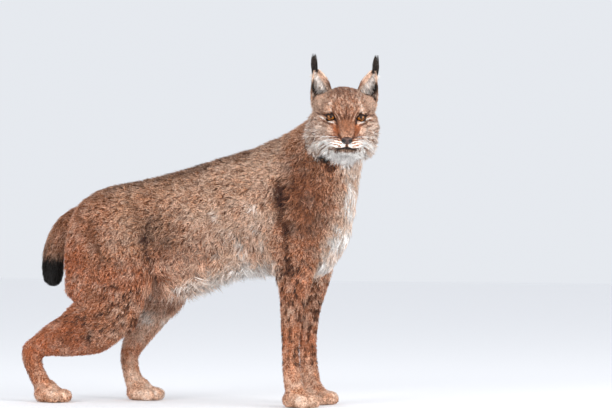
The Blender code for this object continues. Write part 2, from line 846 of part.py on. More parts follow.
def belly_fringe(tree, random):
    """Rows of hanging locks under the belly, longest in front of the knees."""
    locks = []
    for row in range(-2, 3):
        for step in range(FRINGE_LOCKS):
            share = (step + 0.5 * (row % 2)) / FRINGE_LOCKS
            x = FRINGE_FROM + (FRINGE_TO - FRINGE_FROM) * share + random.uniform(-WANDER, WANDER)
            y = row * FRINGE_ROW_GAP + random.uniform(-WANDER, WANDER)
            hit = tree.ray_cast(Vector((x, y, 0.1)), UP)[0]
            if hit.z < FRINGE_LOWEST:
                continue
            length = np.interp(x, FRINGE_AT, FRINGE_LENGTHS) * random.uniform(0.85, 1.1)
            length *= 1.0 + 0.14 * abs(row)
            forward = np.interp(x, FRINGE_AT, FRINGE_FORWARD)
            lie = Vector((forward * 0.6, 0.20 * row, -0.8))
            hang = Vector((forward, 0.05 * row, -1.0))
            face = Vector((0.15 * random.uniform(-1, 1), 1, 0.1))
            half_width = random.uniform(*FRINGE_HALF_WIDTHS)
            locks.append(hanging_lock(tree, hit, lie, hang, length, half_width, face))
    return locks


def chest_locks(tree, random):
    """Locks that lie down the front of the throat and chest."""
    locks = []
    for row in range(-1, 2):
        for step in range(CHEST_LOCKS):
            z = CHEST_TOP - CHEST_DROP * (step + 0.5 * (row % 2)) / CHEST_LOCKS
            y = row * CHEST_ROW_GAP + random.uniform(-WANDER, WANDER)
            hit = tree.ray_cast(Vector((0.8, y, z)), -FORWARD)[0]
            lie = Vector((0.10, 0.18 * row, -1.0))
            length = random.uniform(*CHEST_LENGTHS)
            locks.append(lying_lock(tree, hit, lie, length, CHEST_HALF_WIDTH, CHEST_LIFT))
    return locks


def ear_tuft(side, random):
    """A pencil of long black locks on the tip of one ear."""
    locks = []
    for k in range(TUFT_LOCKS):
        turn = 2 * math.pi * k / TUFT_LOCKS
        spread = Vector((math.cos(turn), math.sin(turn), 0)) * TUFT_SPREAD
        root = Vector((EAR_TIP.x - 0.002, side * EAR_TIP.y, EAR_TIP.z - TUFT_ROOT)) + spread
        length = TUFT_LENGTH * random.uniform(0.8, 1.05) + TUFT_ROOT
        lean = Vector((spread.x * 2.5 - 0.004, spread.y * 2.5 + side * 0.001, length))
        points = [root + lean * share + spread * 1.5 * share * (1 - share) for share in (0, *LOCK_SHARES)]
        face = (HEAD.to_3x3() @ Vector((math.cos(turn), math.sin(turn), 0))).normalized()
        path = [HEAD @ p for p in points]
        locks.append(lock(path, [face] * len(path), TUFT_HALF_WIDTH, TUFT_HALF_THICKNESS))
    return locks


# Parting the animal into its named pieces: where each cut lies and which way is beyond it

HEAD_FROM, HEAD_BEYOND = (-0.070, 0, -0.040), (0.83, 0, 0.56)
EAR_CUT = Vector((0.001, 0.003, 0.0055))  # above the middle of the ear's base
EAR_BEYOND = (0, 0.643, 0.766)
TUFT_CUT = 0.004  # below the ear's tip
NECK_FROM, NECK_BEYOND = (0.300, 0, 0.600), (0.6, 0, 0.8)
TAIL_FROM, TAIL_BEYOND = (-0.345, 0, 0.460), (-0.98, 0, 0.2)
THIGHS_FROM, THIGHS_BEYOND = (-0.230, 0, 0.340), (-0.654, 0, -0.756)
FORELEG_FROM = 0.316
FOREPAW_FROM = 0.072
METATARSUS_FROM = 0.100
HINDPAW_FROM = 0.052
SHANK_FROM = {RIGHT: (-0.235, 0.215), LEFT: (-0.165, 0.232)}
SHANK_BEYOND = {RIGHT: (-0.19, 0, -0.98), LEFT: (-0.45, 0, -0.89)}
NAMES = {LEFT: "left", RIGHT: "right"}


def head_point(x, y, z):
    return HEAD @ Vector((x, y, z))


def head_way(x, y, z):
    return HEAD.to_3x3() @ Vector((x, y, z))


def part_head(body):
    """Parts the head off the neck, then its ears and their tufts."""
    head_left = head_way(0, 1, 0)
    pieces = {}
    spot = head_point(*HEAD_FROM)
    head = part_off(body, "head", spot, head_way(*HEAD_BEYOND), head_left, (0.4, 0.2, 0.2))
    for side in (LEFT, RIGHT):
        base = EAR_BASE + EAR_CUT
        base = head_point(base.x, side * base.y, base.z)
        beyond = head_way(0, side * EAR_BEYOND[1], EAR_BEYOND[2])
        ear = part_off(head, "ear_" + NAMES[side], base, beyond, head_way(1, 0, 0), (0.2, 0.06, 0.06))
        tip = head_point(EAR_TIP.x, side * EAR_TIP.y, EAR_TIP.z - TUFT_CUT)
        name = "ear_tuft_" + NAMES[side]
        tuft = part_off(ear, name, tip, head_way(0, 0, 1), head_left, (0.1, 0.03, 0.03))
        pieces[ear.name] = (ear, "coat", RUSSET)
        pieces[tuft.name] = (tuft, "black_fur", BLACK)
    pieces["head"] = (head, "coat", RUSSET)
    return pieces


def part_legs(body):
    """Parts off the forelegs below the elbow and the hind legs below the hips, and each one's paw."""
    pieces = {}
    for side in (LEFT, RIGHT):
        spot = (0.275, side * 0.062, FORELEG_FROM)
        leg = part_off(body, "foreleg_" + NAMES[side], spot, -UP, ACROSS, (0.4, 0.06, 0.075))
        wrist = (0.280, side * 0.062, FOREPAW_FROM)
        foot = part_off(leg, "forepaw_" + NAMES[side], wrist, -UP, ACROSS, (0.2, 0.06, 0.12))
        pieces[leg.name] = (leg, "spotted_coat", SPOTTED)
        pieces[foot.name] = (foot, "spotted_coat", SPOTTED)
    hind = part_off(body, "thigh_right", THIGHS_FROM, THIGHS_BEYOND, ACROSS, (0.6, 0.3, 0.3))
    middle = (THIGHS_FROM[0], 0, 0.2)
    thighs = {
        LEFT: part_off(hind, "thigh_left", middle, ACROSS, FORWARD, (0.3, 0.4, 0.4)),
        RIGHT: hind,
    }
    for side, thigh in thighs.items():
        x, z = SHANK_FROM[side]
        spot = (x, side * HIND_Y, z)
        shank = part_off(thigh, "shank_" + NAMES[side], spot, SHANK_BEYOND[side], ACROSS, (0.4, 0.07, 0.3))
        heel = (x, side * HIND_Y, METATARSUS_FROM)
        lower = part_off(shank, "metatarsus_" + NAMES[side], heel, -UP, ACROSS, (0.2, 0.07, 0.3))
        ankle = (x, side * HIND_Y, HINDPAW_FROM)
        foot = part_off(lower, "hindpaw_" + NAMES[side], ankle, -UP, ACROSS, (0.2, 0.07, 0.3))
        pieces[thigh.name] = (thigh, "coat", RUSSET)
        pieces[shank.name] = (shank, "spotted_coat", SPOTTED)
        pieces[lower.name] = (lower, "spotted_coat", SPOTTED)
        pieces[foot.name] = (foot, "spotted_coat", SPOTTED)
    return pieces


def finish(pieces):
    """Names, paints, shades and centres every piece, with the soles on z = 0."""
    objects = [piece[0] for piece in pieces.values()]
    corners = np.array([v.co for obj in objects for v in obj.data.vertices])
    low, high = corners.min(axis=0), corners.max(axis=0)
    shift = Matrix.Translation((-(low[0] + high[0]) / 2, -(low[1] + high[1]) / 2, -low[2]))
    for name, (obj, slot, look) in pieces.items():
        obj.name = obj.data.name = name
        obj.data.transform(shift)
        obj.data.shade_smooth()
        paint(obj, slot, look)


def main():
    clear_scene()
    random = Random(7)
    body = whole_body()
    tree = surface_of(body)
    added = [mouth_part("lips", mouth_path(tree, 0.0030, 0.0024))]
    added += ruff(tree, random) + belly_fringe(tree, random) + chest_locks(tree, random)
    for side in (LEFT, RIGHT):
        added += [lids(side), ear_shell(side), *ear_tuft(side, random)]
    combine(body, added, "UNION")
    cutters = [mouth_part("mouth", mouth_path(tree, 0.0009, 0.0045)), nose_pad(GAP)]
    for side in (LEFT, RIGHT):
        cutters += [almond(side), eyeball("socket", side, 2 * GAP)]
    combine(body, cutters, "DIFFERENCE")
    pieces = part_head(body)
    pieces["nose"] = (combine(nose_pad(), nostrils(), "DIFFERENCE"), "nose_skin", NOSE_SKIN)
    for side in (LEFT, RIGHT):
        name = "eye_" + NAMES[side]
        pieces[name] = (eyeball(name, side), "iris", IRIS)
    neck = part_off(body, "neck", NECK_FROM, NECK_BEYOND, ACROSS, (0.4, 0.3, 0.3))
    pieces["neck"] = (neck, "coat", RUSSET)
    tail = part_off(body, "tail", TAIL_FROM, TAIL_BEYOND, ACROSS, (0.3, 0.06, 0.25))
    tip_from = (TAIL[-1][0], 0, TAIL_TIP_FROM)
    tail_tip = part_off(tail, "tail_tip", tip_from, -UP, ACROSS, (0.3, 0.1, 0.1))
    pieces["tail"] = (tail, "coat", RUSSET)
    pieces["tail_tip"] = (tail_tip, "black_fur", BLACK)
    pieces.update(part_legs(body))
    pieces["torso"] = (body, "coat", RUSSET)
    finish(pieces)


main()
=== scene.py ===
"""A still Eurasian lynx: hide, coat, eyes, nose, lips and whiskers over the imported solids."""

import math

import bmesh
import bpy
import numpy as np
from mathutils import Matrix, Vector
from mathutils.bvhtree import BVHTree
from mathutils.kdtree import KDTree


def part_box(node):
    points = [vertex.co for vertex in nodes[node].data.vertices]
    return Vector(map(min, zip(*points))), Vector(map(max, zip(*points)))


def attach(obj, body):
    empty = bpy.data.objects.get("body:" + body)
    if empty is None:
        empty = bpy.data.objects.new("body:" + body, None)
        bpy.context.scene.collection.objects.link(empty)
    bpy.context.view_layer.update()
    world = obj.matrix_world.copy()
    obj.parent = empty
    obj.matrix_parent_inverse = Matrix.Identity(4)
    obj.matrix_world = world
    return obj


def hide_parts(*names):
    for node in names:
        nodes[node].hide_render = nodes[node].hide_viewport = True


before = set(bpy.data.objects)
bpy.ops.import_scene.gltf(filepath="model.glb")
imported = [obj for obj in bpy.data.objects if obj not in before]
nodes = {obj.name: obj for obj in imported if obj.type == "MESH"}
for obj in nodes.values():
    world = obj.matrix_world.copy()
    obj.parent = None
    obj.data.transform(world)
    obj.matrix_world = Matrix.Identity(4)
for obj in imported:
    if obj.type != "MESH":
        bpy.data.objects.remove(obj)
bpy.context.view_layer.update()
random = np.random.default_rng(41)

# Camera, floor and light
# The lynx stands side on and looks into the lens, seen level from eight metres. The floor and the wall
# behind are plain and pale, and the light is that of a bright overcast day.

left_eye, right_eye = (sum(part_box(name), Vector()) / 2 for name in ("eye_left", "eye_right"))
CAMERA_AZIMUTH = math.radians(20)
CAMERA_DISTANCE = 8.0
FRAME_WIDTH = 1.545
SENSOR = 36.0
AIM_FROM_EYES = Vector((-0.1722, 0.1902, -0.2125))
LIGHT_ENERGIES = (108.0, 122.0)
LIGHT_PLACES = ((-1.6, -4.2, 1.5), (3.8, -1.4, 1.6))

aim = (left_eye + right_eye) / 2 + AIM_FROM_EYES
back = Vector((math.sin(CAMERA_AZIMUTH), -math.cos(CAMERA_AZIMUTH), 0))
camera = bpy.data.objects.new("camera", bpy.data.cameras.new("camera"))
bpy.context.scene.collection.objects.link(camera)
camera.location = aim + back * CAMERA_DISTANCE
camera.rotation_euler = (-back).to_track_quat("-Z", "Y").to_euler()
camera.data.sensor_width = SENSOR
camera.data.lens = SENSOR * CAMERA_DISTANCE / FRAME_WIDTH
bpy.context.scene.camera = camera
bpy.context.scene.view_settings.view_transform = "Standard"

bpy.ops.object.select_all(action="DESELECT")
bpy.ops.mesh.primitive_grid_add(x_subdivisions=8, y_subdivisions=8, size=24)
floor = bpy.context.object
floor.name = "floor"
floor_finish = bpy.data.materials.new("floor_finish")
floor_finish.use_nodes = True
floor_finish.node_tree.nodes["Principled BSDF"].inputs["Base Color"].default_value = (0.95, 0.95, 0.96, 1)
floor_finish.node_tree.nodes["Principled BSDF"].inputs["Roughness"].default_value = 0.9
floor.data.materials.append(floor_finish)

for number, place in enumerate(LIGHT_PLACES):
    light = bpy.data.objects.new(f"light_{number}", bpy.data.lights.new(f"light_{number}", "AREA"))
    light.data.energy = LIGHT_ENERGIES[number]
    light.data.size = 2.4
    light.location = Vector(place)
    light.rotation_euler = (aim - Vector(place)).to_track_quat("-Z", "Y").to_euler()
    bpy.context.scene.collection.objects.link(light)
sky = bpy.data.worlds.new("sky")
sky.use_nodes = True
sky.node_tree.nodes["Background"].inputs["Color"].default_value = (0.90, 0.93, 0.98, 1)
sky.node_tree.nodes["Background"].inputs["Strength"].default_value = 0.88
bpy.context.scene.world = sky

# Hide
# One hide over the whole animal, from nose to tail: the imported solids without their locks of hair, made
# one smooth skin and set in by the depth of the coat. It carries the coat's colours under the tufts.

EYE_SETBACK = 0.007
head_left = (left_eye - right_eye).normalized()
head_look = head_left.cross(Vector((0, 0, 1))).normalized()
head_up = head_look.cross(head_left)
head_frame = Matrix((head_look, head_left, head_up)).transposed().to_4x4()
head_frame.translation = (left_eye + right_eye) / 2 + head_look * EYE_SETBACK
head_turn = np.array(head_frame.to_3x3())
head_origin = np.array(head_frame.translation)


def in_head(points):
    """Points of the whole frame in the head's own: x ahead of the face, y to its left and z up."""
    return (points - head_origin) @ head_turn


def from_head(points):
    return points @ head_turn.T + head_origin


LOCK_THICKNESS = 0.012
CORE_VOXEL, VOXEL = 0.004, 0.0019
CORE_DROP = 0.0012
BODY_SHARE = 0.10
RUFF_FRONT, RUFF_TOP = 0.008, -0.005
LOCKED = ("torso", "neck", "head")
UNCHANGED = [name for name in nodes if not name.startswith((*LOCKED, "eye_", "nose", "ear_tuft"))]


def closed_copy(name):
    solid = bmesh.new()
    solid.from_mesh(nodes[name].data)
    bmesh.ops.remove_doubles(solid, verts=solid.verts, dist=1e-6)
    return solid


def without_locks(name):
    """The node's own surface with its locks of hair taken off, and the holes under them closed."""
    solid = closed_copy(name)
    tree = BVHTree.FromBMesh(solid)
    locks = []
    for face in solid.faces:
        middle = face.calc_center_median()
        place = in_head(np.array(middle))
        if name == "head" and not (place[0] < RUFF_FRONT and place[2] < RUFF_TOP):
            continue
        hit = tree.ray_cast(middle - face.normal * 2e-4, -face.normal)
        if hit[0] and hit[3] < LOCK_THICKNESS:
            locks.append(face)
    bmesh.ops.delete(solid, geom=locks, context="FACES")
    for _ in range(6):
        open_ends = [edge for edge in solid.edges if len(edge.link_faces) == 1]
        if open_ends:
            bmesh.ops.holes_fill(solid, edges=open_ends, sides=0)
            bmesh.ops.triangulate(solid, faces=solid.faces)
    return solid


def one_piece(name, solids):
    """One mesh object of several closed solids."""
    joined = bmesh.new()
    for solid in solids:
        part = bpy.data.meshes.new("part")
        solid.to_mesh(part)
        joined.from_mesh(part)
        solid.free()
        bpy.data.meshes.remove(part)
    piece = bpy.data.objects.new(name, bpy.data.meshes.new(name))
    joined.to_mesh(piece.data)
    joined.free()
    bpy.context.scene.collection.objects.link(piece)
    return piece


def apply_to(piece, kind, **settings):
    """Gives the piece a modifier with these settings, and applies it."""
    modifier = piece.modifiers.new("shape", kind)
    for setting, value in settings.items():
        setattr(modifier, setting, value)
    bpy.ops.object.select_all(action="DESELECT")
    piece.select_set(True)
    bpy.context.view_layer.objects.active = piece
    bpy.ops.object.modifier_apply(modifier=modifier.name)


core = one_piece("core", [without_locks(name) for name in LOCKED])
apply_to(core, "REMESH", mode="VOXEL", voxel_size=CORE_VOXEL)
face = one_piece("face", [closed_copy("head")])
bpy.ops.object.select_all(action="DESELECT")
bpy.ops.mesh.primitive_cube_add(size=1)
ruff_box = bpy.context.object
ruff_box.data.transform(head_frame @ Matrix.Translation((RUFF_FRONT - 0.5, 0, RUFF_TOP - 0.5)))
apply_to(face, "BOOLEAN", operation="DIFFERENCE", solver="EXACT", object=ruff_box)
bpy.data.objects.remove(ruff_box)
core_points = np.array([vertex.co - vertex.normal * CORE_DROP for vertex in core.data.vertices])
core.data.vertices.foreach_set("co", core_points.astype(np.float32).ravel())
solids = []
for piece in (core, face):
    solids.append(bmesh.new())
    solids[-1].from_mesh(piece.data)
    bpy.data.objects.remove(piece)
hide = one_piece("hide", solids + [closed_copy(name) for name in UNCHANGED])
apply_to(hide, "REMESH", mode="VOXEL", voxel_size=VOXEL)


def points_of(piece):
    found = np.empty(len(piece.data.vertices) * 3, np.float32)
    piece.data.vertices.foreach_get("co", found)
    return found.reshape(-1, 3).astype(float)


def unit(vectors):
    return vectors / np.maximum(np.linalg.norm(vectors, axis=1, keepdims=True), 1e-9)


def eased(values, start, end):
    """0 before start, 1 past end, smooth between."""
    share = np.clip((values - start) / (end - start), 0, 1)
    return share * share * (3 - 2 * share)


HEAD_BACK, HEAD_LOW = -0.115, -0.125
places = in_head(points_of(hide))
head_part = (places[:, 0] > HEAD_BACK) & (places[:, 2] > HEAD_LOW) & (places[:, 0] + places[:, 2] > -0.125)
bpy.ops.object.mode_set(mode="EDIT")
bpy.ops.mesh.select_mode(type="VERT")
bpy.ops.mesh.select_all(action="DESELECT")
bpy.ops.object.mode_set(mode="OBJECT")
hide.data.vertices.foreach_set("select", ~head_part)
bpy.ops.object.mode_set(mode="EDIT")
bpy.ops.mesh.decimate(ratio=BODY_SHARE)
bpy.ops.object.mode_set(mode="OBJECT")

# The lie of the coat: places on the animal, and how the hair grows there. The hair between them is a
# blend of the nearest ones. Guard hair runs from the nose to the tail, and down the legs.

MIDDLE_Y = 0.0197

# x, distance from the middle, z; lie along x, y, z; length, depth, hang, width; pale, rust, dark
BODY_COAT = (
    # Along the spine
    (-0.370, 0.000, 0.470, -0.70, 0, -0.70, 0.030, 0.006, 0.0, 1.0, 0.00, 0.45, 0.35),
    (-0.310, 0.000, 0.520, -0.95, 0, -0.30, 0.032, 0.007, 0.0, 1.0, 0.00, 0.25, 0.50),
    (-0.180, 0.000, 0.562, -1.00, 0, -0.10, 0.034, 0.008, 0.0, 1.0, 0.00, 0.00, 0.70),
    (-0.040, 0.000, 0.598, -1.00, 0, -0.15, 0.036, 0.009, 0.0, 1.0, 0.00, 0.00, 0.75),
    (0.100, 0.000, 0.637, -1.00, 0, -0.15, 0.038, 0.009, 0.0, 1.0, 0.05, 0.00, 0.70),
    (0.180, 0.000, 0.655, -1.00, 0, -0.15, 0.038, 0.009, 0.0, 1.0, 0.30, 0.00, 0.45),
    (0.250, 0.000, 0.690, -0.85, 0, -0.50, 0.038, 0.010, 0.0, 1.0, 0.05, 0.30, 0.30),
    # Upper flank
    (-0.300, 0.075, 0.470, -0.85, 0, -0.50, 0.034, 0.008, 0.0, 1.0, 0.00, 0.50, 0.20),
    (-0.170, 0.085, 0.510, -0.90, 0, -0.45, 0.036, 0.009, 0.0, 1.1, 0.05, 0.20, 0.10),
    (-0.040, 0.085, 0.530, -0.90, 0, -0.40, 0.038, 0.010, 0.0, 1.1, 0.15, 0.15, 0.05),
    (0.090, 0.085, 0.560, -0.90, 0, -0.40, 0.038, 0.010, 0.0, 1.1, 0.25, 0.10, 0.00),
    (0.180, 0.085, 0.580, -0.85, 0, -0.50, 0.038, 0.010, 0.0, 1.1, 0.35, 0.15, 0.00),
    # Middle of the flank, with the dark patch before the thigh
    (-0.115, 0.105, 0.430, -0.80, 0, -0.60, 0.038, 0.010, 0.0, 1.1, 0.00, 0.15, 0.62),
    (-0.060, 0.105, 0.405, -0.60, 0, -0.75, 0.038, 0.010, 0.0, 1.1, 0.00, 0.20, 0.58),
    (-0.020, 0.105, 0.455, -0.80, 0, -0.55, 0.040, 0.010, 0.0, 1.1, 0.20, 0.20, 0.00),
    (0.080, 0.105, 0.465, -0.70, 0, -0.65, 0.040, 0.010, 0.0, 1.1, 0.35, 0.15, 0.00),
    (0.170, 0.105, 0.470, -0.45, 0, -0.85, 0.040, 0.010, 0.0, 1.1, 0.40, 0.20, 0.00),
    # Low on the flank
    (-0.110, 0.100, 0.340, 0.15, 0, -1.00, 0.042, 0.010, 0.2, 1.2, 0.15, 0.80, 0.05),
    (-0.060, 0.095, 0.345, 0.35, 0, -1.00, 0.046, 0.010, 0.3, 1.3, 0.15, 0.70, 0.00),
    (0.010, 0.090, 0.365, 0.05, 0, -1.00, 0.042, 0.010, 0.2, 1.2, 0.25, 0.45, 0.05),
    (0.090, 0.090, 0.375, -0.10, 0, -1.00, 0.040, 0.010, 0.2, 1.1, 0.30, 0.25, 0.10),
    (0.160, 0.090, 0.390, -0.20, 0, -1.00, 0.040, 0.010, 0.2, 1.1, 0.40, 0.30, 0.00),
    (0.210, 0.085, 0.385, -0.20, 0, -1.00, 0.034, 0.009, 0.1, 1.0, 0.15, 0.55, 0.00),
    # Belly, long and pale
    (-0.110, 0.055, 0.300, 0.45, 0, -0.90, 0.066, 0.013, 0.8, 1.2, 0.45, 0.70, 0.00),
    (-0.040, 0.055, 0.298, 0.35, 0, -0.90, 0.064, 0.013, 0.8, 1.2, 1.00, 0.05, 0.00),
    (0.040, 0.055, 0.312, 0.15, 0, -1.00, 0.056, 0.013, 0.8, 1.2, 1.00, 0.00, 0.00),
    (0.120, 0.055, 0.335, 0.00, 0, -1.00, 0.048, 0.012, 0.8, 1.1, 1.00, 0.00, 0.00),
    (0.190, 0.055, 0.345, 0.00, 0, -1.00, 0.032, 0.010, 0.6, 1.0, 0.90, 0.05, 0.00),
    (0.250, 0.000, 0.335, -0.20, 0, -0.80, 0.030, 0.008, 0.4, 1.0, 0.90, 0.00, 0.00),
    # Shoulder and upper arm
    (0.265, 0.090, 0.540, -0.60, 0, -0.80, 0.032, 0.009, 0.0, 1.0, 0.00, 0.45, 0.50),
    (0.300, 0.095, 0.460, -0.40, 0, -0.90, 0.030, 0.008, 0.0, 0.9, 0.00, 0.50, 0.48),
    (0.290, 0.090, 0.380, -0.20, 0, -1.00, 0.024, 0.006, 0.0, 0.8, 0.00, 0.60, 0.22),
    (0.240, 0.090, 0.360, -0.10, 0, -1.00, 0.024, 0.006, 0.0, 0.8, 0.10, 0.50, 0.10),
    # Neck, throat and chest
    (0.290, 0.080, 0.630, -0.60, 0, -0.80, 0.032, 0.009, 0.0, 1.0, 0.00, 0.45, 0.32),
    (0.350, 0.070, 0.560, -0.40, 0, -0.90, 0.030, 0.009, 0.0, 1.0, 0.05, 0.45, 0.25),
    (0.330, 0.080, 0.610, -0.45, 0, -0.90, 0.026, 0.007, 0.0, 0.9, 0.00, 0.45, 0.30),
    (0.350, 0.075, 0.470, -0.30, 0, -0.95, 0.030, 0.009, 0.0, 1.0, 0.20, 0.40, 0.18),
    (0.390, 0.000, 0.600, 0.00, 0, -1.00, 0.036, 0.010, 0.2, 1.0, 0.65, 0.20, 0.10),
    (0.390, 0.000, 0.540, 0.00, 0, -1.00, 0.048, 0.011, 0.3, 1.1, 0.85, 0.10, 0.00),
    (0.380, 0.000, 0.460, -0.05, 0, -1.00, 0.046, 0.011, 0.3, 1.1, 0.85, 0.10, 0.00),
    (0.350, 0.000, 0.375, -0.20, 0, -1.00, 0.036, 0.009, 0.3, 1.0, 0.85, 0.10, 0.00),
    # Forelegs and paws
    (0.250, 0.085, 0.290, -0.10, 0, -1.00, 0.017, 0.004, 0.0, 0.65, 0.00, 0.70, 0.10),
    (0.215, 0.064, 0.270, -0.10, 0, -1.00, 0.017, 0.004, 0.0, 0.65, 0.30, 0.50, 0.00),
    (0.270, 0.064, 0.270, -0.10, 0, -1.00, 0.016, 0.004, 0.0, 0.65, 0.00, 0.65, 0.05),
    (0.250, 0.040, 0.260, 0.00, 0, -1.00, 0.016, 0.004, 0.0, 0.65, 0.50, 0.25, 0.00),
    (0.240, 0.064, 0.180, 0.00, 0, -1.00, 0.013, 0.003, 0.0, 0.60, 0.00, 0.70, 0.00),
    (0.242, 0.064, 0.100, 0.10, 0, -1.00, 0.012, 0.003, 0.0, 0.55, 0.10, 0.55, 0.00),
    (0.265, 0.064, 0.045, 0.70, 0, -0.60, 0.011, 0.003, 0.0, 0.50, 0.25, 0.35, 0.00),
    (0.310, 0.064, 0.020, 0.80, 0, -0.60, 0.010, 0.002, 0.0, 0.50, 0.40, 0.25, 0.00),
    # Rump and thighs
    (-0.340, 0.060, 0.420, -0.50, 0, -0.85, 0.032, 0.008, 0.0, 1.0, 0.00, 0.75, 0.05),
    (-0.250, 0.100, 0.420, -0.50, 0, -0.85, 0.034, 0.009, 0.0, 1.1, 0.15, 0.60, 0.00),
    (-0.190, 0.110, 0.400, -0.45, 0, -0.90, 0.034, 0.009, 0.0, 1.1, 0.20, 0.30, 0.10),
    (-0.320, 0.080, 0.340, -0.35, 0, -0.95, 0.030, 0.008, 0.0, 1.0, 0.00, 0.85, 0.00),
    (-0.230, 0.110, 0.330, -0.35, 0, -0.90, 0.032, 0.009, 0.0, 1.0, 0.00, 0.75, 0.05),
    (-0.170, 0.105, 0.300, -0.30, 0, -0.95, 0.030, 0.008, 0.0, 1.0, 0.00, 0.70, 0.05),
    (-0.250, 0.030, 0.300, -0.20, 0, -0.95, 0.026, 0.006, 0.0, 0.9, 0.60, 0.30, 0.00),
)
# The hind legs stand apart, so the second number of their rows, and the tail's, is y itself
RIGHT_Y, LEFT_Y = MIDDLE_Y - 0.076, MIDDLE_Y + 0.076
HIND_COAT = (
    (-0.190, RIGHT_Y, 0.240, -0.55, 0, -0.80, 0.024, 0.006, 0.0, 0.8, 0.22, 0.55, 0.00),
    (-0.270, RIGHT_Y, 0.220, -0.80, 0, -0.55, 0.022, 0.005, 0.0, 0.75, 0.00, 0.65, 0.10),
    (-0.350, RIGHT_Y, 0.175, -0.85, 0, -0.50, 0.018, 0.004, 0.0, 0.7, 0.00, 0.80, 0.15),
    (-0.440, RIGHT_Y, 0.140, -0.50, 0, -0.80, 0.012, 0.003, 0.0, 0.6, 0.00, 0.92, 0.20),
    (-0.430, RIGHT_Y, 0.090, 0.10, 0, -1.00, 0.012, 0.003, 0.0, 0.55, 0.00, 0.70, 0.10),
    (-0.410, RIGHT_Y, 0.045, 0.60, 0, -0.60, 0.011, 0.003, 0.0, 0.5, 0.20, 0.45, 0.00),
    (-0.360, RIGHT_Y, 0.020, 0.80, 0, -0.60, 0.010, 0.002, 0.0, 0.5, 0.40, 0.25, 0.00),
    (-0.150, LEFT_Y, 0.280, -0.30, 0, -0.95, 0.024, 0.006, 0.0, 0.9, 0.45, 0.55, 0.00),
    (-0.190, LEFT_Y, 0.210, -0.50, 0, -0.85, 0.020, 0.005, 0.0, 0.75, 0.50, 0.45, 0.00),
    (-0.240, LEFT_Y, 0.140, -0.20, 0, -0.95, 0.014, 0.004, 0.0, 0.6, 0.20, 0.60, 0.00),
    (-0.240, LEFT_Y, 0.090, 0.10, 0, -1.00, 0.012, 0.003, 0.0, 0.55, 0.30, 0.40, 0.00),
    (-0.220, LEFT_Y, 0.045, 0.60, 0, -0.60, 0.011, 0.003, 0.0, 0.5, 0.30, 0.35, 0.00),
    (-0.170, LEFT_Y, 0.020, 0.80, 0, -0.60, 0.010, 0.002, 0.0, 0.5, 0.40, 0.25, 0.00),
    (-0.395, MIDDLE_Y, 0.470, -0.80, 0, -0.60, 0.024, 0.005, 0.0, 0.8, 0.00, 0.30, 0.45),
    (-0.425, MIDDLE_Y, 0.420, -0.35, 0, -0.95, 0.022, 0.005, 0.0, 0.8, 0.05, 0.25, 0.40),
    (-0.432, MIDDLE_Y, 0.330, 0.00, 0, -1.00, 0.022, 0.005, 0.0, 0.8, 0.00, 0.00, 1.00),
)
